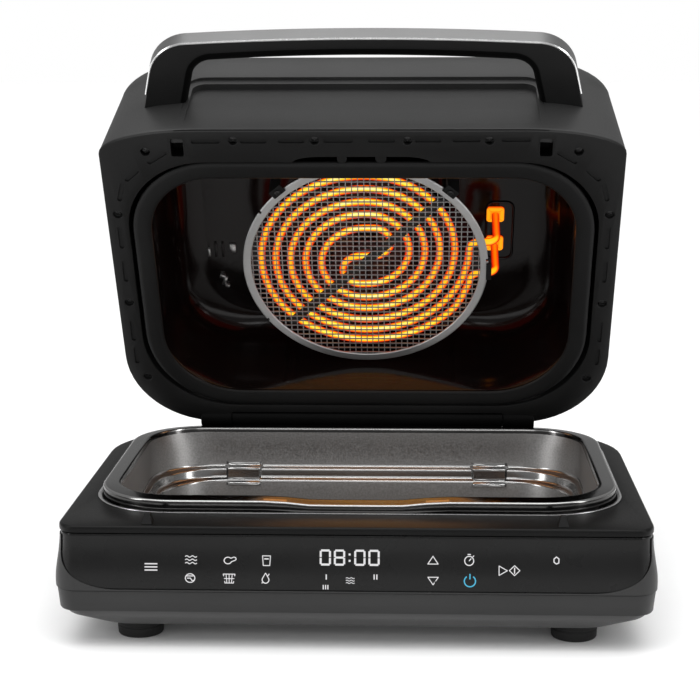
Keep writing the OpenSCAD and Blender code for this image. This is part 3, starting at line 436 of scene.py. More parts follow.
lugs = {"x": 153, "front": 4.5, "wide": 8.4, "deep": 12, "tall": 7.6, "lead": 0.4, "trail": 0.7, "narrow": 0.5}
bm = bmesh.new()
for side in (-1, 1):
    made = bmesh.ops.create_cube(bm, size=1)["verts"]
    for v in made:
        high = v.co.z > 0
        share = (lugs["lead"] if v.co.y < 0 else lugs["trail"]) if high else v.co.y + 0.5
        v.co = (side * lugs["x"] + v.co.x * lugs["wide"] * (lugs["narrow"] if high else 1),
                lugs["front"] + lugs["deep"] * share, deckTop + (lugs["tall"] if high else 0))
settle(objectOf(bm, "lugs"), basePlace, "deck", "base", "deck_plastic", "interlock_lugs", rounding=0.6, segments=3)


def panelOut(share):
    return base["panelIn"] + base["belly"] * math.sin(math.radians(base["bellyTurn"] * share)) ** 2


def panelRow(share, more=0.0):
    return panelOut(share) + more, base["panelTop"] - base["panelH"] * share


def wallChain(bm, out, z, front):
    w = base["half"] + out
    known = set(bm.edges)
    if front:
        fr = tuple(r + out for r in base["frontR"])
        arcs = [arcOf(bm, (-w + fr[0], fr[1] - out, z), fr, 180, 270, 12),
                arcOf(bm, (w - fr[0], fr[1] - out, z), fr, 270, 360, 12)]
        start, end = (-w, base["wrap"], z), (w, base["wrap"], z)
    else:
        br = tuple(r + out for r in base["backR"])
        y = base["depth"] + out - br[1]
        arcs = [arcOf(bm, (w - br[0], y, z), br, 0, 90, 16), arcOf(bm, (-w + br[0], y, z), br, 90, 180, 16)]
        start, end = (w, base["wrap"] + base["seam"], z), (-w, base["wrap"] + base["seam"], z)
    return joined(bm, [[bm.verts.new(start)]] + arcs + [[bm.verts.new(end)]], False, known)


walls = {"upper": [(-3.4, 3), (-2.2, 2.9), (-1.4, 2.5), (-1.05, 1.8), (-1, 0.4)], "steps": 14, "inSteps": 6,
         "lower": [(-0.1, 0.9), (-0.45, 0.25), (-1.1, 0)], "last": (-4.4, 3)}


def wallPiece(name, front, look, slot, node):
    bm = bmesh.new()
    top, low, out = base["panelTop"], base["panelTop"] - base["panelH"], panelOut(1)
    rows = [(o, top + z) for o, z in walls["upper"]]
    rows += [panelRow(s / walls["steps"]) for s in range(1, walls["steps"])]
    rows += [(out + o, low + z) for o, z in walls["lower"]]
    rows += [panelRow(s / walls["inSteps"], -base["wall"]) for s in range(walls["inSteps"], 0, -1)]
    rows += [(walls["last"][0], top + walls["last"][1])]
    skin(bm, [wallChain(bm, o, z, front) for o, z in rows], closed=True)
    closeEnds(bm)
    settle(objectOf(bm, name), basePlace, look, "base", slot, node, sharp=50)


wallPiece("controlPanel", True, "panel", "panel_gloss", "control_panel")
wallPiece("rearCasing", False, "band", "casing_plastic", "rear_casing")

bezel = {"proud": 0.9, "sunk": -0.2, "half": 217.5, "low": 47.5, "high": 150, "lowR": (43, 26), "highR": (2, 2),
         "reach": (-30, 40)}
bm = bmesh.new()
shares = [s / walls["steps"] for s in range(walls["steps"] + 1)]
rows = [panelRow(share, bezel["proud"]) for share in shares]
rows += [panelRow(share, bezel["sunk"]) for share in reversed(shares)]
skin(bm, [wallChain(bm, o, z, True) for o, z in rows], closed=True)
closeEnds(bm)
bezelPiece = objectOf(bm, "bezel")
bm = bmesh.new()
rims = [loopOf(bm, bezel["half"], bezel["low"], bezel["high"], bezel["lowR"], bezel["highR"], z, 14) for z in (0, 1)]
solidOf(bm, rims)
for loop, reach in zip(rims, bezel["reach"]):
    for v in vertsOf(loop):
        v.co = (v.co.x, reach, v.co.y)
carve(bezelPiece, objectOf(bm, "windowCutter"))
settle(bezelPiece, basePlace, "band", "base", "band_plastic", rounding=0.7, sharp=50, segments=1)

band = {"top": 46.6, "upper": [(-1.0, 0), (-0.3, -0.2), (0, -0.8), (-0.9, -8)],
        "lower": [(-1.7, 0.8), (-2.1, 0.2), (-2.8, 0), (-4.6, 0)], "back": -2.8}
bm = bmesh.new()
top, low, out = band["top"], band["top"] - base["bandH"], panelOut(1)
rows = [(out + o, top + z) for o, z in band["upper"]] + [(out + o, low + z) for o, z in band["lower"]]
rows += [(out + band["back"], top)]
skin(bm, [baseLoop(bm, o, z) for o, z in rows], closed=True)
settle(objectOf(bm, "greyBand"), basePlace, "band", "base", "band_plastic", "grey_band")

tray = {"top": 29.7, "tall": 15.2, "frontSoft": 20,
        "rows": [(0, -3, -2.4), (0.27, -3.3, -2.7), (0.31, -3.7, -3.1), (0.37, -4.9, -4.2), (0.92, -17, -15),
                 (0.97, -18.6, -16.4), (1, -21, -18.6)],  # share of the height, side and front
        "inside": [(-2.2, 0), (-2.2, 5.3), (-4.6, 5.3), (-9, -4), (-24, -12.7)]}
bm = bmesh.new()
rows = [baseLoop(bm, front, tray["top"] - tray["tall"] * share, side, tray["frontSoft"] * share - front)
        for share, side, front in tray["rows"]]
solidOf(bm, rows[::-1] + [baseLoop(bm, o, tray["top"] + z) for o, z in tray["inside"]])
settle(objectOf(bm, "bottomTray"), basePlace, "tray", "base", "tray_plastic", "bottom_tray")

feet = {"places": [(165, 43), (165, 256)],
        "side": [(1.8, 14.5), (1.8, 6), (5.5, 6), (5.5, 0.4), (6, 0), (15.6, 0), (16.6, 0.35), (17.2, 1.2), (17.6, 7),
                 (17.1, 7.6), (17.1, 8.6), (17.7, 9.2), (18, 14.5)]}
bm = bmesh.new()
for x, y in feet["places"]:
    for side in (-1, 1):
        turned(bm, feet["side"] + feet["side"][:1], (side * x, y, 0))
settle(objectOf(bm, "feet"), basePlace, "rubber", "base", "foot_rubber", "rubber_feet")
print("base made")


# Well and pot
bm = bmesh.new()
solidOf(bm, [wellLoop(bm, o, z) for o, z in well["rows"]])
settle(objectOf(bm, "well"), basePlace, "sheet", "base", "sheet_steel", "well_liner")

pot = {"half": 201, "front": 41, "back": 305.5, "r": 61, "soft": 0.25,
       "dip": 2.8, "dipHalf": 66, "dipEase": 36, "dipDeep": 14.8, "dipFrom": 97, "dippedFrom": 90,
       "under": [(36, 23.8), (27, 26.8), (22, 35.8), (19, 56), (13.6, 60), (12.6, 98), (11.4, 101.4), (9.6, 102.6),
                 (2.6, 102.4), (1.6, 101.8), (1.4, 97.2)],
       "rim": [(0.1, 97.2), (0, 97.6), (0, 102.8), (0.35, 103.5), (1, 103.9), (2, 104.05), (6, 104.45), (11, 104.9),
               (12.6, 104.95), (13.5, 104.6), (14, 103.6), (14.4, 101)],
       "wall": [(15.2, 88), (15.9, 72.2), (16.4, 70.6), (17.4, 69.8), (19.2, 69.4), (20.1, 68.8), (20.5, 67.6),
                (20.8, 63.2), (21.3, 61.5), (22.3, 60.7), (23.8, 60.3), (24.7, 59.6), (25.1, 58.2), (26.4, 39),
                (27.2, 33), (29.2, 28.8), (32.2, 26.2), (37, 25.2)],
       "bright": ((58, 72.3), (102.7, 104.1)), "flat": ((97, 102.7), (104.1, 106))}


def potLoop(bm, inset, z, soft=1.0):
    r = (pot["r"] - soft * inset, pot["r"] - soft * inset)
    return loopOf(bm, pot["half"] - inset, pot["front"] + inset, pot["back"] - inset, r, r, z, 14, 15)


bm = bmesh.new()
rows = [potLoop(bm, o, z) for o, z in pot["under"] + pot["rim"]]
rows += [potLoop(bm, o, z, pot["soft"]) for o, z in pot["wall"]]
solidOf(bm, rows)


def dipAt(x, y):  # the front of the rim dips a little in its middle
    reach = min(1.0, max(0.0, (pot["dipHalf"] - abs(x)) / pot["dipEase"]))
    return pot["dip"] * reach * reach * (3 - 2 * reach) if y < pot["front"] + pot["dipDeep"] else 0


for v in bm.verts:
    if v.co.z > pot["dipFrom"]:
        v.co.z -= dipAt(v.co.x, v.co.y)


def potZone(ranges):  # tests for a face at these heights, as if the rim had no dip
    def picked(centre):
        z = centre.z + (dipAt(centre.x, centre.y) if centre.z > pot["dippedFrom"] else 0)
        return any(low < z < high for low, high in ranges)
    return picked


# The rim's flat top takes dark steel, a painted reflection of the dark lid; the ledges and rolled edges take smoother
# steel
settle(objectOf(bm, "pot"), basePlace, "steel", "base", "sheet_steel", "cooking_pot", sharp=40,
       second=("rimSteel", potZone(pot["bright"])), third=("rimPaintedReflection", potZone(pot["flat"])))

stops = {"x": 109, "half": 15, "soft": 1.3, "out": 2.6, "sunk": 1.5, "slope": 0.55, "middle": 65.4, "stretch": 1.35,
         "rows": (1, 13), "split": 60, "behind": (13.6, 20.5), "flare": 2}


def stopLoop(bm, side, o, z):  # one level of a tab: the pot's ledge there, pressed inward
    known = set(bm.edges)
    z = stops["middle"] + stops["stretch"] * (z - stops["middle"])
    x, root, press = side * stops["x"], o - stops["sunk"], stops["out"] + stops["sunk"]
    half = [(stops["behind"][z < stops["split"]], stops["flare"]), (root, stops["flare"]),
            (root + stops["slope"] * press, 0), (o + stops["out"], -stops["soft"])]
    around = [(-1, *spot) for spot in half] + [(1, *spot) for spot in half[::-1]]
    corners = [[bm.verts.new((x + way * (stops["half"] + more), pot["back"] - inset, z))]
               for way, inset, more in around]
    return joined(bm, corners, True, known)


bm = bmesh.new()
first, last = stops["rows"]
for side in (-1, 1):
    solidOf(bm, [stopLoop(bm, side, o, z) for o, z in pot["wall"][first:last]])
settle(objectOf(bm, "potStops"), basePlace, "rimSteel", "base", "sheet_steel", sharp=50)
print("pot made")


# Lid shell with the stepped finger pocket in its front face
shell = {"half": 211, "front": 7.5, "back": 303, "frontR": (80, 22), "backR": (76, 76), "leastR": (20, 9, 12),
         "side": 0.05, "face": 0.11, "rear": 0.08, "wall": 11.5, "straight": 102, "topRound": 38, "topIn": 36,
         "frontIn": 14, "roofT": 5, "foot": 3.5, "footRows": [(1.6, 0), (0.6, 0.35), (0.1, 1.2), (0, 2.2)],
         "levels": (12, 30, 52, 74, 92), "inLevel": 60, "crown": ((15, 141.6), (40, 143.2), (70, 144))}


def lidLoop(bm, h, inset, z=None, front=None):
    front = inset if front is None else front
    wide, deep, rear = shell["leastR"]
    frontR = (max(shell["frontR"][0] - 0.5 * inset, wide), max(shell["frontR"][1] - 0.5 * front, deep))
    backR = tuple(max(r - inset, rear) for r in shell["backR"])
    return loopOf(bm, shell["half"] - shell["side"] * h - inset, shell["front"] + shell["face"] * h + front,
                  shell["back"] - shell["rear"] * h - inset, frontR, backR, h if z is None else z, 14)


def crownLoop(bm, turn, wall, roof):  # the sides bend over evenly, the front late
    bend = 1 - math.cos(math.radians(turn))
    return lidLoop(bm, shell["straight"], wall + (shell["topIn"] - wall) * bend,
                   shell["straight"] + (shell["topRound"] - roof) * math.sin(math.radians(turn)),
                   wall + (shell["frontIn"] - wall) * bend ** 3)


bm = bmesh.new()
foot, straight, wall, roofT = shell["foot"], shell["straight"], shell["wall"], shell["roofT"]
outside = [lidLoop(bm, foot + h, o) for o, h in shell["footRows"]]
outside += [lidLoop(bm, h, 0) for h in shell["levels"]]
outside += [crownLoop(bm, turn, 0, 0) for turn in range(0, 91, 6)]
outside += [lidLoop(bm, straight, shell["topIn"] + o, z, shell["frontIn"] + o) for o, z in shell["crown"]]
inside = [lidLoop(bm, straight, shell["topIn"] + o, z - roofT, shell["frontIn"] + o)
          for o, z in shell["crown"][::-2]]
inside += [crownLoop(bm, turn, wall, roofT) for turn in range(90, -1, -15)]
inside += [lidLoop(bm, h, wall) for h in (shell["inLevel"], foot)]
skin(bm, outside)
skin(bm, inside)
skin(bm, [inside[-1], outside[0]])
cap(bm, outside[-1], inside[0])
lidShell = objectOf(bm, "lidShell")

pocket = {"steps": [(147.5, 99.8, 14, 3.0), (142.5, 92.2, 11, 8.5)],  # half width, top, corner and depth
          "low": -30, "lowR": (2, 2), "out": -25, "fade": 14}
for half, top, r, depth in pocket["steps"]:
    bm = bmesh.new()
    rims = [loopOf(bm, half, pocket["low"], top, pocket["lowR"], (r, r), z, 10) for z in (0, 1)]
    skin(bm, rims)
    for loop, isFloor in zip(rims, (False, True)):
        for v in vertsOf(loop):
            h = v.co.y
            floorY = shell["front"] + shell["face"] * h + depth * (h - pocket["fade"]) / (top - pocket["fade"])
            v.co = (v.co.x, floorY if isFloor else pocket["out"], h)
    cap(bm, *rims)
    carve(lidShell, objectOf(bm, "pocketCutter"))
settle(lidShell, lidPlace, "lid", "lid", "lid_plastic", "lid_shell", rounding=1.2, sharp=28, segments=3)
print("lid shell made")


# Rim frame with slots, screw recesses, marks and hinge knuckles
# A slot is x, y and half sizes, a dash x, y, length and turn, and the edge a height, a depth and a width
rim = {"half": 211, "front": 7.5, "back": 317.5, "frontR": (80, 22), "backR": (76, 76), "inHalf": 193.6,
       "inFront": 37.4, "inBack": 298, "inR": (66, 78), "outRows": [(0, 3.4), (0, 1.3), (0.3, 0.4), (1.2, 0)],
       "inRows": [(-1.0, 0), (-0.3, 0.3), (0, 1), (0, 3.4)], "backCut": (306, 20, 30), "edge": (1, 0.7, 2),
       "slot": (147, 23, 6.2, 9.4), "slotCut": (6, 2.6),
       "screws": [(173, 27), (102, 16.6), (37, 16.5), (201.5, 88.5), (201.5, 181), (193.4, 264.6)],
       "screwHole": [(0, -1), (4.5, -1), (4.2, 0), (3.8, 0.4), (3.7, 6), (0, 6)], "dashCut": (3.4, 1.3, 0.15),
       "dashes": [(-124, 17, 23), (-85.6, 16.8, 21), (-55.3, 16.6, 21), (-18, 16.4, 23), (16.5, 16.2, 22),
                  (53.3, 16, 21), (83.7, 15.8, 22), (122.8, 15.6, 23)],
       "sideDashes": [(164, 32.4, 19, 34), (196.6, 66, 18, 76), (186, 49.5, 15, 44), (201.5, 112, 22, 90),
                      (201.5, 147, 22, 90), (201.5, 212, 22, 90), (201, 240, 18, 90)],
       "bow": (56, 31.5, 45, (22, 6.5), (2, 2))}
knuckle = {"from": 121.3, "to": 149.5, "r": 8, "bore": 3.05, "soft": 0.8}


def frameLoop(bm, inset, z):
    frontR, backR = tuple(r - 0.5 * inset for r in rim["frontR"]), tuple(r - inset for r in rim["backR"])
    return loopOf(bm, rim["half"] - inset, rim["front"] + inset, rim["back"] - inset, frontR, backR, z, 14)


def frameMouth(bm, inset, z):
    frontR, backR = ((r - inset, r - inset) for r in rim["inR"])
    return loopOf(bm, rim["inHalf"] - inset, rim["inFront"] + inset, rim["inBack"] - inset, frontR, backR, z, 14)


bm = bmesh.new()
rows = [frameLoop(bm, o, z) for o, z in rim["outRows"]] + [frameMouth(bm, o, z) for o, z in rim["inRows"]]
skin(bm, rows, closed=True)
rimFrame = objectOf(bm, "rimFrame")


def sinkOf(bm, x, y, long, wide, turn, depth, slope, corner=None):
    r = min(long, wide) / 2 - 0.02 if corner is None else corner
    loops = [loopOf(bm, long / 2 + g, -wide / 2 - g, wide / 2 + g, (r + g, r + g), (r + g, r + g), z, 5)
             for g, z in ((slope * 2, -depth), (slope, 0), (0, depth))]
    solidOf(bm, loops)
    made = [v for loop in loops for v in vertsOf(loop)]
    bmesh.ops.rotate(bm, cent=(0, 0, 0), matrix=zTurn(turn), verts=made)
    bmesh.ops.translate(bm, vec=(x, y, 0), verts=made)


bm = bmesh.new()
slotX, slotY, slotW, slotD = rim["slot"]
depth, corner = rim["slotCut"]
for side in (-1, 1):
    sinkOf(bm, side * slotX, slotY, 2 * slotW, 2 * slotD, 0, depth, 0, corner)
    for x, y in rim["screws"]:
        turned(bm, rim["screwHole"], (side * x, y, 0), steps=32)
carve(rimFrame, objectOf(bm, "holeCutter"))
bm = bmesh.new()
wide, depth, slope = rim["dashCut"]
for side in (-1, 1):
    for x, y, long, turn in rim["sideDashes"]:
        sinkOf(bm, side * x, y, long, wide, side * turn, depth, slope)
for x, y, long in rim["dashes"]:
    sinkOf(bm, x, y, long, wide, 0, depth, slope)
carve(rimFrame, objectOf(bm, "dashCutter"))
bm = bmesh.new()
y, deep, tall = rim["backCut"]
blockOf(bm, (2 * knuckle["from"], deep, tall), (0, y + deep / 2, 0))
carve(rimFrame, objectOf(bm, "backCutter"))
bm = bmesh.new()
solidOf(bm, [loopOf(bm, *rim["bow"], z, 10) for z in (-1, 6)])
carve(rimFrame, objectOf(bm, "bowCutter"))


def isOuterEdge(centre):
    above, front, side = rim["edge"]
    return centre.z > above and (centre.y < rim["front"] + front or abs(centre.x) > rim["half"] - side)


# The frame's outer side wall, picked by isOuterEdge, takes the near-black finish: painted shade on the frame's own
# plastic
settle(rimFrame, lidPlace, "frame", "lid", "frame_plastic", "lid_rim_frame", rounding=0.3, sharp=30,
       second=("blackAndPaintedShade", isOuterEdge))

slotBox = {"lip": 1.1, "deep": 13, "low": 0.15, "r": 2.5, "shadeFrom": 1}
bm = bmesh.new()
lip, deep, low = slotBox["lip"], slotBox["deep"], slotBox["low"]
slotRows = [(0.05, deep), (0.05, low), (0.3, 0), (lip - 0.25, 0), (lip, low), (lip + 0.5, deep - 0.8)]
for side in (-1, 1):
    rows = [loopOf(bm, slotW - g, -slotD + g, slotD - g, (slotBox["r"] - 0.5 * g,) * 2, (slotBox["r"] - 0.5 * g,) * 2,
                   z, 6) for g, z in slotRows]
    solidOf(bm, rows)
    shift(bm, rows, (side * slotX, slotY, 0))
# The slot boxes' walls deeper than the lip take the near-black finish: painted shade in the recesses
settle(objectOf(bm, "slotBoxes"), lidPlace, "frame", "lid", "frame_plastic",
       second=("blackAndPaintedShade", lambda centre: centre.z > slotBox["shadeFrom"]))

bosses = {"spots": [(-15.6, 34.6, 4), (15.7, 34.4, 4.4)], "low": 0.9, "high": 3.6, "soft": 0.5}
bm = bmesh.new()
low, high, soft = bosses["low"], bosses["high"], bosses["soft"]
for x, y, r in bosses["spots"]:
    turned(bm, [(0, low), (r - soft, low), (r, low + soft), (r, high), (0, high)], (x, y, 0), steps=32)
settle(objectOf(bm, "bowBosses"), lidPlace, "frame", "lid", "frame_plastic")

bm = bmesh.new()
long, r, bore, soft = knuckle["to"] - knuckle["from"], knuckle["r"], knuckle["bore"], knuckle["soft"]
for side in (-1, 1):
    turned(bm, [(bore, 0), (r - soft, 0), (r, soft), (r, long - soft), (r - soft, long), (bore, long), (bore, 0)],
           (side * knuckle["from"], hingeBack, hingeOver), Matrix.Rotation(math.radians(90 * side), 3, "Y"))
settle(objectOf(bm, "knuckles"), lidPlace, "blackAndPaintedShade", "lid", "frame_plastic")

rimScrew = {"side": [(0, 2.9), (1.8, 2.95), (2.7, 3.2), (3.1, 3.7), (3.1, 4.2), (0, 4.2)], "cross": (4.2, 0.8, 2),
            "crossH": 2.6, "spread": 7}
bm = bmesh.new()
spots = [(side * x, y, x * rimScrew["spread"] % 90) for side in (-1, 1) for x, y in rim["screws"]]
for x, y, turn in spots:
    turned(bm, rimScrew["side"], (x, y, 0), steps=24)
rimScrews = objectOf(bm, "rimScrews")
for more in (0, 90):
    bm = bmesh.new()
    for x, y, turn in spots:
        blockOf(bm, rimScrew["cross"], (x, y, rimScrew["crossH"]), turn + more)
    carve(rimScrews, objectOf(bm, "slotCutter"))
settle(rimScrews, lidPlace, "darkScrew", "lid", "black_screw", "rim_screws")
print("rim frame made")


# Seal and liner
mouth = {"half": 175, "front": 53.5, "back": 282, "r": (53, 66), "seal": 15.5,
         "sealIn": [(0.6, 3.4), (0, 2.6), (0.2, 1.6), (1, 0.75), (2.4, 0.25), (4.5, 0.05)],
         "sealOut": [(-4, 0), (-1.8, 0.15), (-0.6, 0.7), (0, 1.6), (0, 3.4)]}


def mouthLoop(bm, out, z):
    frontR, backR = ((r + out, r + out) for r in mouth["r"])
    return loopOf(bm, mouth["half"] + out, mouth["front"] - out, mouth["back"] + out, frontR, backR, z, 14)


bm = bmesh.new()
sealRows = mouth["sealIn"] + [(mouth["seal"] + o, z) for o, z in mouth["sealOut"]]
skin(bm, [mouthLoop(bm, o, z) for o, z in sealRows], closed=True)
settle(objectOf(bm, "seal"), lidPlace, "seal", "lid", "seal_rubber", "lid_seal")

liner = {"taper": 1.5, "round": 30, "roof": 92, "sheet": 1.2, "hole": 9, "coilY": 171, "shrink": (0.4, 0.8, 0.7),
         "mouth": [(-14, 3.6), (-1.8, 3.6), (-0.7, 4), (0, 5.4), (0.6, 28)], "flange": [(-1.2, 4.8), (-14, 4.8)]}


def linerLoop(bm, inset, z):
    corner, front, back = (share * inset for share in liner["shrink"])
    frontR, backR = ((r - corner, r - corner) for r in mouth["r"])
    return loopOf(bm, mouth["half"] - inset, mouth["front"] + front, mouth["back"] - back, frontR, backR, z, 14)


def holeLoop(bm, z):
    r = (liner["hole"] - 0.05, liner["hole"] - 0.05)
    return loopOf(bm, liner["hole"], liner["coilY"] - liner["hole"], liner["coilY"] + liner["hole"], r, r, z, 14)


bm = bmesh.new()
straight, bend, sheet, taper = liner["roof"] - liner["round"], liner["round"], liner["sheet"], liner["taper"]
arcs = [math.radians(a) for a in range(0, 91, 9)]
inner = [linerLoop(bm, o, z) for o, z in liner["mouth"]]
inner += [linerLoop(bm, taper + bend * (1 - math.cos(a)), straight + bend * math.sin(a)) for a in arcs]
inner += [holeLoop(bm, liner["roof"])]
outer = [holeLoop(bm, liner["roof"] + sheet)]
outer += [linerLoop(bm, taper - sheet + (bend + sheet) * (1 - math.cos(a)), straight + (bend + sheet) * math.sin(a))
          for a in reversed(arcs)]
outer += [linerLoop(bm, o, z) for o, z in liner["flange"]]
skin(bm, inner + outer, closed=True)
settle(objectOf(bm, "liner"), lidPlace, "enamel", "lid", "enamel", "lid_liner", sharp=40)
print("liner made")


# Bits on the liner's roof: sensor clips on the left, a pressed ring round the coil's ends on the right
# A block is x, y, its three sizes and its turn
bits = {"sunk": 0.3, "soft": 0.5,
        "clips": [(-142.1, 194.5, 2.2, 9, 3, 0), (-120.6, 190, 5.5, 9, 3, 0), (-131.8, 221.5, 5, 4, 3.4, 18),
                  (-130, 227, 3.4, 9, 2.6, 18), (-128, 232, 4.4, 3, 3.4, 18)],
        "bars": [(-136.1, 192.2, 2.2, 15, 2.4, 0), (-129.8, 192.2, 2.2, 15, 2.4, 0)],
        "ring": (117, 13, 139, 203, 8), "ringRows": [(0, 0.4), (0.2, -0.6), (0.7, -1.4), (1.3, -1.6), (1.9, -1.2),
                                                     (2.3, -0.4), (2.4, 0.4)]}


def roofBlocks(name, blocks):
    bm = bmesh.new()
    for x, y, wide, deep, tall, turn in blocks:
        blockOf(bm, (wide, deep, tall), (x, y, liner["roof"] - tall / 2 + bits["sunk"]), turn, bits["soft"])
    return objectOf(bm, name)


settle(roofBlocks("sensorClips", bits["clips"]), lidPlace, "sheet", "lid", "pin_steel", "temperature_probe")
settle(roofBlocks("sensorBars", bits["bars"]), lidPlace, "darkScrew", "lid", "pin_steel")
bm = bmesh.new()
x, half, front, back, r = bits["ring"]
rows = [loopOf(bm, half - g, front + g, back - g, (r - 0.8 * g,) * 2, (r - 0.8 * g,) * 2, liner["roof"] + z, 8)
        for g, z in bits["ringRows"]]
skin(bm, rows, closed=True)
bmesh.ops.translate(bm, vec=(x, 0, 0), verts=bm.verts)
settle(objectOf(bm, "roofRing"), lidPlace, "enamel", "lid", "enamel", sharp=60)
print("roof bits made")


# Heater: coil, plates, glow and bar. A turn of the coil is its centre, radius and two angles
coil = {"y": liner["coilY"], "h": 50, "r": 3.3, "leadX": 113, "leadR": 8, "leadRows": (40, 30, 18),
        "leads": (15.2, -18.2), "leftWide": 1.025, "step": 7.5,
        "turns": [(0, -10.3, 101, 30, 90), (0, 1.9, 88.8, 90, 270), (0, -9.6, 77.3, 270, 450),
                  (0, 3.6, 64.1, 90, 270), (0, -9.05, 51.45, 270, 450), (0, 4.75, 37.65, 90, 270),
                  (7, -18, 14.9, 270, 450), (-4.5, 12.3, 15.3, 270, 90), (0, -10.05, 37.65, 90, -90),
                  (0, 3.55, 51.25, 270, 90), (0, -9.5, 64.3, 90, -90), (0, 2.85, 76.65, 270, 90),
                  (0, -10.1, 89.5, 90, 0)],
        "entry": [(97, 15.2, 0), (91.6, 18.4, 0), (89.9, 27, 0)],
        "exit": [(90, -13, 0), (92.4, -17.2, 0), (98, -18.2, 0)],
        "lit": (0.03, -0.985, 0.17), "glow": (0.08, 1.0), "sideDim": 0.34}


def leadPoints(y):
    x, r = coil["leadX"], coil["leadR"]
    bent = [math.radians(a) for a in range(0, 91, 15)]
    return [(x, y, z) for z in coil["leadRows"]] + [(x - r + r * math.cos(a), y, r - r * math.sin(a)) for a in bent]


path = leadPoints(coil["leads"][0]) + coil["entry"]
for cx, cy, r, start, end in coil["turns"]:
    count = max(3, int(abs(end - start) / coil["step"]))
    for i in range(1, count + 1):
        a = math.radians(start + (end - start) * i / count)
        wide = r * (coil["leftWide"] if math.cos(a) < 0 else 1)
        path.append((cx + wide * math.cos(a), cy + r * math.sin(a), 0))
path += coil["exit"] + leadPoints(coil["leads"][1])[::-1]
wire = bpy.data.curves.new("coilPath", "CURVE")
wire.dimensions = "3D"
wire.bevel_depth = coil["r"]
wire.bevel_resolution = 5
wire.use_fill_caps = True
spline = wire.splines.new("NURBS")
spline.points.add(len(path) - 1)
for point, (x, y, z) in zip(spline.points, path):
    point.co = (x, y + coil["y"], z + coil["h"], 1)
spline.order_u = 3
spline.use_endpoint_u = True
spline.resolution_u = 3
wireObject = bpy.data.objects.new("coilPath", wire)
scene.collection.objects.link(wireObject)
coilMesh = bpy.data.meshes.new_from_object(wireObject.evaluated_get(bpy.context.evaluated_depsgraph_get()))
bpy.data.objects.remove(wireObject)


# Painted highlight on the glow: brightest on faces toward a fixed way near the camera's, darker towards the tube's
# edges, and dimmed on the spiral's left and right runs
def heat(made, toward, low, high, sideDim, power=2.2):  # brightest on the side that faces toward
    glow = made.data.attributes.new("glow", "FLOAT", "POINT")
    back = lidPlace.inverted()
    toward = (back.to_3x3() @ Vector(toward)).normalized()
    turn = back.to_3x3().normalized()
    for v in made.data.vertices:
        spot = back @ v.co
        out = Vector((spot.x, spot.y - coil["y"], 0)).normalized()
        most = max(0.5, math.hypot(toward.dot(out), toward.z))
        share = min(1.0, max(0.0, (turn @ v.normal).dot(toward) / most)) ** power
        glow.data[v.index].value = low + (high - low) * share * (1 - sideDim * out.x ** 2)


coilTube = bpy.data.objects.new("coilTube", coilMesh)
scene.collection.objects.link(coilTube)
settle(coilTube, lidPlace, "hot", "lid", "heater_tube", "heating_coil", sharp=60)
heat(coilTube, coil["lit"], *coil["glow"], coil["sideDim"])

plates = {"x": 113, "y": (184.4, 153.2), "size": 15.6, "r": 3, "lit": (0, -0.866, -0.5), "glow": (0.3, 0.6),
          "rows": [(0, 0), (0, -1.4), (0.4, -1.9), (1.2, -2), (3.2, -2), (3.6, -2.6)]}
bm = bmesh.new()
s, r = plates["size"] / 2, plates["r"]
for y in plates["y"]:
    rows = [loopOf(bm, s - g, -s + g, s - g, (r - g, r - g), (r - g, r - g), liner["roof"] + z, 6)
            for g, z in plates["rows"]]
    solidOf(bm, rows)
    shift(bm, rows, (plates["x"], y, 0))
hotPlates = settle(objectOf(bm, "hotPlates"), lidPlace, "hot", "lid", "terminal_metal", "coil_terminals")
# The plates take the heater's glow, brighter on faces toward plates['lit']: a painted highlight on the glow
heat(hotPlates, plates["lit"], *plates["glow"], 0, 1.0)

ember = {"watts": 0.065, "wide": 0.2, "colour": (1, 0.45, 0.12), "h": 36}  # the coil's light, riding on the lid
lamp = addLight("ember", "AREA", (0, 0, 0), (0, 0, -1), ember["watts"], shape="DISK", size=ember["wide"],
                color=ember["colour"])
lamp.parent = frame["bodies"]["lid"]
lamp.matrix_parent_inverse = frame["bodies"]["lid"].matrix_world.inverted()
lamp.matrix_world = lidPlace @ Matrix.Translation((0, coil["y"], ember["h"])) @ Matrix.Scale(1000, 4)
lamp.visible_camera = False

bar = {"long": 194.6, "wide": 8, "thick": 2.4, "soft": 0.5, "h": 44.3, "turn": -45, "post": 2, "postIn": 2,
       "rivet": [(0, -1), (1.6, -0.9), (2.4, 0), (2.4, 0.3), (0, 0.3)], "rivetIn": 5}
bm = bmesh.new()
h, r, roof = bar["h"], bar["post"], liner["roof"]
blockOf(bm, (bar["long"], bar["wide"], bar["thick"]), (0, 0, h + bar["thick"] / 2), soft=bar["soft"])
for end in (-1, 1):
    post, rivet = (end * (bar["long"] / 2 - bar[name]) for name in ("postIn", "rivetIn"))
    turned(bm, [(0, h + 1), (r, h + 1), (r, roof), (0, roof)], (post, 0, 0), steps=16)
    turned(bm, [(rivetR, h + z) for rivetR, z in bar["rivet"]], (rivet, 0, 0), steps=20)
bmesh.ops.rotate(bm, cent=(0, 0, 0), matrix=zTurn(bar["turn"]), verts=bm.verts)
bmesh.ops.translate(bm, vec=(0, coil["y"], 0), verts=bm.verts)
settle(objectOf(bm, "coilBar"), lidPlace, "blackMetal", "lid", "black_metal", "coil_bar")
print("heater made")


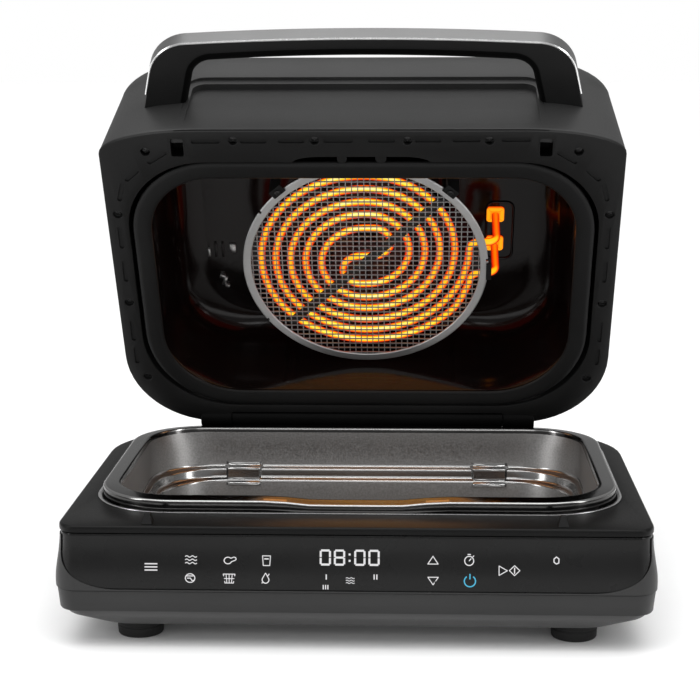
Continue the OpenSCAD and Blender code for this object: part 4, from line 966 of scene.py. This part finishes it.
# Guard: ring, mesh and clips
guard = {"r": 106, "wide": 7, "low": 38.4, "high": 40, "pitch": 5.15, "wire": 0.85, "reach": 102.5,
         "notches": (146, 213, 356), "notch": (4, 2.6, 6)}
bm = bmesh.new()
r, inR, low, high = guard["r"], guard["r"] - guard["wide"], guard["low"], guard["high"]
turned(bm, [(inR, high), (inR, low + 0.5), (inR + 0.5, low), (r - 0.8, low), (r, low + 0.6), (r, high), (inR, high)],
       (0, coil["y"], 0), steps=128)
guardRing = objectOf(bm, "guardRing")
bm = bmesh.new()
for a in guard["notches"]:
    spot = spotAt(r, a)
    blockOf(bm, guard["notch"], (spot.x, spot.y + coil["y"], low), a)
carve(guardRing, objectOf(bm, "notchCutter"))
settle(guardRing, lidPlace, "guard", "lid", "guard_steel", "guard_ring")

bm = bmesh.new()
count = int(guard["reach"] / guard["pitch"])
for i in range(-count, count + 1):
    across = i * guard["pitch"]
    long = 2 * math.sqrt(guard["reach"] ** 2 - across ** 2)
    blockOf(bm, (long, guard["wire"], guard["wire"]), (0, coil["y"] + across, high + guard["wire"] / 2))
    blockOf(bm, (guard["wire"], long, guard["wire"]), (across, coil["y"], high + 1.5 * guard["wire"]))
settle(objectOf(bm, "guardMesh"), lidPlace, "wire", "lid", "guard_steel", "guard_mesh", sharp=80)

clips = {"turns": (-47.5, 227.5), "wide": 13, "thick": 1.5, "soft": 0.5, "r": 110, "inR": 103.5, "over": 1,
         "posts": (43, 137), "postAt": 103.8, "postR": 2, "pad": (4.6, 17, 3), "padAt": (106.4, 4.5, -0.4)}
bm = bmesh.new()
inR, outR, wide, thick = clips["inR"], clips["r"] + clips["thick"], clips["wide"], clips["thick"]
foot, postR = low - clips["over"], clips["postR"]
for a in clips["turns"]:
    parts = blockOf(bm, (outR - inR, wide, thick), ((outR + inR) / 2, 0, low - thick / 2), soft=clips["soft"])
    parts += blockOf(bm, (thick, wide, roof - foot), (outR - thick / 2, 0, (roof + foot) / 2), soft=clips["soft"])
    bmesh.ops.rotate(bm, cent=(0, 0, 0), matrix=zTurn(a), verts=parts)
for a in clips["posts"]:
    turned(bm, [(0, high), (postR, high), (postR, roof), (0, roof)], spotAt(clips["postAt"], a), steps=16)
bmesh.ops.translate(bm, vec=(0, coil["y"], 0), verts=bm.verts)
x, y, z = clips["padAt"]
blockOf(bm, clips["pad"], (x, coil["y"] + y, low + z), soft=clips["soft"])
settle(objectOf(bm, "guardClips"), lidPlace, "grip", "lid", "black_metal", "guard_clips")

clipScrew = {"at": 107, "side": [(0, 35.4), (1.4, 35.4), (2.3, 35.8), (2.6, 36.5), (2.6, 36.95), (0, 36.95)],
             "cut": (3.6, 0.7, 1.2), "cutTurn": 20}
spots = [(*(spotAt(clipScrew["at"], a) + Vector((0, coil["y"], 0))).xy, a) for a in clips["turns"]]
bm = bmesh.new()
for x, y, a in spots:
    turned(bm, clipScrew["side"], (x, y, 0), steps=24)
clipScrews = objectOf(bm, "clipScrews")
bm = bmesh.new()
for x, y, a in spots:
    blockOf(bm, clipScrew["cut"], (x, y, clipScrew["side"][0][1]), a + clipScrew["cutTurn"])
carve(clipScrews, objectOf(bm, "slotCutter"))
settle(clipScrews, lidPlace, "darkScrew", "lid", "screw_steel", "clip_screws")
print("guard made")


# Handle: core with a rounded grip, and its metal cover
handle = {"up": 52, "tall": 16, "front": -46.5, "rootHalf": 178, "rootY": 7.5, "lean": 13, "legW": 35, "barT": 20.6,
          "bow": 4, "outR": 34, "inR": 18, "soft": 0.4, "cover": 1.5, "coverEnd": 5.5, "coreEnd": 25, "legSoft": 6.5,
          "barSoft": 13, "softTall": 12, "edge": 0.9, "shadeFrom": 0.3}


def legX(y, inset):
    lean = math.radians(handle["lean"])
    return -handle["rootHalf"] + math.tan(lean) * (handle["rootY"] - y) + inset / math.cos(lean)


def archChain(bm, legInset, barInset, r, end, z):
    known = set(bm.edges)
    barY = handle["front"] + handle["bow"] + barInset
    cy = barY + r
    cx = legX(cy, legInset + r)
    left = arcOf(bm, (cx, cy, z), (r, r), 180 + handle["lean"], 270, 12)
    right = arcOf(bm, (-cx, cy, z), (r, r), 270, 360 - handle["lean"], 12)
    shares = [i / 8 for i in range(1, 16)]
    middle = [bm.verts.new((cx * (1 - t), barY - handle["bow"] * (1 - (1 - t) ** 2), z)) for t in shares]
    for pair in zip(middle, middle[1:]):
        bm.edges.new(pair)
    tips = [[bm.verts.new((side * legX(end, legInset), end, z))] for side in (1, -1)]
    return joined(bm, [tips[0], left, middle, right, tips[1]], False, known)


bm = bmesh.new()
up, tall, cover, soft = handle["up"], handle["tall"], handle["cover"], handle["soft"]
chains = [archChain(bm, cover + d, cover + d, handle["outR"] - cover - d, handle["coreEnd"], up + z)
          for d, z in ((soft, 0), (0, soft), (0, tall - soft), (soft, tall))]
inner = [(0.25, tall), (0.06, tall - 0.6)]
for a in range(90, -1, -10):
    inner.append((1 - math.sin(math.radians(a)), handle["softTall"] * (1 - math.cos(math.radians(a)))))
for share, z in inner:  # the grip's inner side, rounded over softTall
    chains.append(archChain(bm, handle["legW"] - share * handle["legSoft"], handle["barT"] - share * handle["barSoft"],
                            handle["inR"] + share * handle["legSoft"], handle["coreEnd"], up + z))
skin(bm, chains, closed=True)
closeEnds(bm)
# The grip's faces above its foot take the near-black finish: painted shade on the grip's inner side
settle(objectOf(bm, "handleCore"), lidPlace, "grip", "lid", "lid_plastic", "handle_core", sharp=40,
       second=("blackAndPaintedShade", lambda centre: centre.z > up + handle["shadeFrom"]))

bm = bmesh.new()
edge = handle["edge"]
section = [(edge, -0.25), (0, edge - 0.25), (0, tall - 0.15), (0.35, tall + 0.2), (cover, tall + 0.2), (cover, -0.25)]
chains = [archChain(bm, d, d, handle["outR"] - d, handle["coverEnd"], up + z) for d, z in section]
skin(bm, chains, closed=True)
closeEnds(bm)


def isEdge(centre):
    return up - 0.2 < centre.z < up + edge - 0.3


settle(objectOf(bm, "handleCover"), lidPlace, "strip", "lid", "handle_metal", "handle_cover", sharp=30,
       second=("polished", isEdge))
print("handle made")


# Marks of the touch panel, as thin raised shapes on its face
# A bar is x, z, width and height, a ring x, z, radius, width and angles, and a line its width and points
marks = {"lift": 0.05, "sink": 0.05, "glow": 0.7, "digitZ": 72.6,
         "digits": [(-21, "abcdef"), (-10.6, "abcdefg"), (4.3, "abcdef"), (14.7, "abcdef")],
         "bars": [(-149.4, 67, 9.5, 0.9), (-149.4, 64.7, 9.5, 0.9), (-149.4, 62.4, 9.5, 0.9), (-3.2, 70.3, 1.5, 1.5),
                  (-3.2, 74.9, 1.5, 1.5), (-20.3, 58.4, 0.9, 3.8), (-22.5, 50.8, 0.8, 3.4), (-20.8, 50.8, 0.8, 3.4),
                  (-19.1, 50.8, 0.8, 3.4), (14.8, 58.7, 0.9, 3.8), (16.8, 58.7, 0.9, 3.8)],
         "waves": [(-119.8, 70.1, 8.4, 4.8), (-2.7, 55.9, 6.2, 3.6)],
         "rings": [(-92.6, 69.8, 2.8, 0.8, 40, 345, 0.85), (-120.5, 56.7, 3.5, 0.75, 0, 360, 0.92),
                   (-64.9, 55.9, 2.5, 0.75, 150, 390), (84.2, 71, 3.3, 0.75)],
         "lines": [(0.65, (-90.4, 71.4), (-88.3, 72.3), (-86.9, 71.9), (-86.5, 70.8), (-87.2, 70), (-89.9, 69)),
                   (0.65, (-67, 57.2), (-64.9, 60.9), (-62.8, 57.2)), (0.9, (-65.6, 71.2), (-62.8, 71.2)),
                   (0.7, (-122.6, 56.7), (-120.2, 56.7), (-119.2, 55), (-117.8, 55)),
                   (0.7, (-123.1, 58.3), (-118.3, 58.3)), (0.6, (-93.9, 59.4), (-93.46, 53.8)),
                   (0.6, (-91.7, 59.4), (-91.7, 53.8)), (0.6, (-89.5, 59.4), (-89.94, 53.8)),
                   (0.6, (-95.4, 56.6), (-88, 56.6)), (0.7, (-67.6, 53.4), (-62.2, 60.2)),
                   (0.8, (83.2, 75.6), (85.2, 75.6)), (0.7, (86.9, 74), (87.6, 74.7)),
                   (0.7, (84.2, 71), (85.6, 72.6)), (0.8, (117.3, 66.2), (117.3, 62.2))],
         "shapes": [(0.65, (-67.1, 73.4), (-66.6, 66.4), (-61.8, 66.4), (-61.3, 73.4)),
                    (0.65, (-96, 59.9), (-87.4, 59.9), (-88.6, 53.3), (-94.8, 53.3)),
                    (0.65, (54, 68.5), (57.8, 74.1), (61.6, 68.5)), (0.65, (54.1, 58.9), (57.9, 53.3), (61.7, 58.9)),
                    (0.65, (106, 60.7), (112, 64.1), (106, 67.5)),
                    (0.65, (113.5, 64.2), (117.3, 60.6), (121.1, 64.2), (117.3, 67.8)),
                    (0.8, (145.9, 70.6), (147.6, 69.3), (149.4, 70), (149.5, 73), (147.6, 74.3), (145.9, 72.8))],
         "powerRing": (84.8, 56.2, 4.1, 0.9, 125, 415), "powerBar": (84.8, 59.6, 0.9, 4)}


def barMark(bm, x, z, wide, tall, turn=0.0):
    made = bmesh.ops.create_grid(bm, x_segments=1, y_segments=1, size=0.5)["verts"]
    bmesh.ops.scale(bm, vec=(wide, tall, 1), verts=made)
    bmesh.ops.rotate(bm, cent=(0, 0, 0), matrix=zTurn(turn), verts=made)
    bmesh.ops.translate(bm, vec=(x, z, 0), verts=made)


def ringMark(bm, x, z, r, wide, start=0.0, end=360.0, squash=1.0):
    steps = max(4, int(abs(end - start) / 15))
    known = set(bm.edges)
    for g in (r - wide / 2, r + wide / 2):
        arcOf(bm, (x, z, 0), (g, g * squash), start, end, steps)
    bmesh.ops.bridge_loops(bm, edges=[e for e in bm.edges if e not in known])


def lineMark(bm, wide, *points, closed=False):
    ends = points[1:] + (points[:1] if closed else ())
    for (x, z), (endX, endZ) in zip(points, ends):
        barMark(bm, (x + endX) / 2, (z + endZ) / 2, math.hypot(endX - x, endZ - z) + 0.5 * wide, wide,
                math.degrees(math.atan2(endZ - z, endX - x)))


def waveMark(bm, x, z, wide, tall, count=3):
    shares = [k / 12 for k in range(13)]
    for i in range(count):
        low = z + (i / (count - 1) - 0.5) * tall
        lineMark(bm, 0.13 * tall, *[(x + (share - 0.5) * wide, low + 0.12 * tall * math.sin(share * 4 * math.pi))
                                    for share in shares])


def digitMark(bm, x, z, lit, wide=8.3, tall=11.7, thick=1.5):
    half, step = wide / 2 - thick / 2, tall / 2 - thick / 2
    flat, upright = wide - thick * 1.3, tall / 2 - thick * 0.9
    places = {"a": (0, step, flat, thick), "g": (0, 0, flat, thick), "d": (0, -step, flat, thick),
              "f": (-half, step / 2, thick, upright), "b": (half, step / 2, thick, upright),
              "e": (-half, -step / 2, thick, upright), "c": (half, -step / 2, thick, upright)}
    for name in lit:
        dx, dz, w, t = places[name]
        barMark(bm, x + dx, z + dz, w, t)


def setOnPanel(bm, name, look):
    faces = bm.faces[:]
    bmesh.ops.recalc_face_normals(bm, faces=faces)
    made = bmesh.ops.extrude_face_region(bm, geom=faces)["geom"]
    for v in [g for g in made if isinstance(g, bmesh.types.BMVert)]:
        v.co.z = 1
    for v in bm.verts:
        share = (base["panelTop"] - v.co.y) / base["panelH"]
        lift = marks["lift"] if v.co.z > 0.5 else -marks["sink"]
        v.co = (v.co.x, -panelOut(share) - lift, v.co.y)
    made = objectOf(bm, name)
    settle(made, basePlace, look, "base", "panel_gloss", sharp=60)
    glow = made.data.attributes.new("glow", "FLOAT", "POINT")
    for v in made.data.vertices:
        glow.data[v.index].value = marks["glow"]


bm = bmesh.new()
for x, lit in marks["digits"]:
    digitMark(bm, x, marks["digitZ"], lit)
for kind, draw in (("bars", barMark), ("waves", waveMark), ("rings", ringMark), ("lines", lineMark)):
    for mark in marks[kind]:
        draw(bm, *mark)
for shape in marks["shapes"]:
    lineMark(bm, *shape, closed=True)
setOnPanel(bm, "panelMarks", "mark")

bm = bmesh.new()
ringMark(bm, *marks["powerRing"])
barMark(bm, *marks["powerBar"])
setOnPanel(bm, "powerMark", "cyan")
print("panel marks made")


# Finishes of the CAD pieces that stay
kept = {"foot_screws": "screw", "deck_screws": "screw", "display_module": "black", "touch_board": "board",
        "power_board": "board", "power_relays": "blue", "transformer": "yellow", "filter_capacitor": "blue",
        "buzzer": "black", "board_screws": "screw", "cord_gland": "black", "hinge_block": "blackAndPaintedShade",
        "hinge_bushes": "cream", "hinge_pins": "screw", "handle_screws": "screw", "heat_shield": "sheet",
        "motor_frame": "guard", "motor_posts": "screw", "motor_bearings": "bronze", "thermal_cutout": "cream",
        "lid_switch": "black", "fan_impeller": "blackMetal", "motor_shaft": "screw", "motor_rotor": "guard",
        "cooling_fan": "black", "fan_nut": "screw"}
for name, look in kept.items():
    nodes[name].data.materials.clear()
    nodes[name].data.materials.append(finish[look])
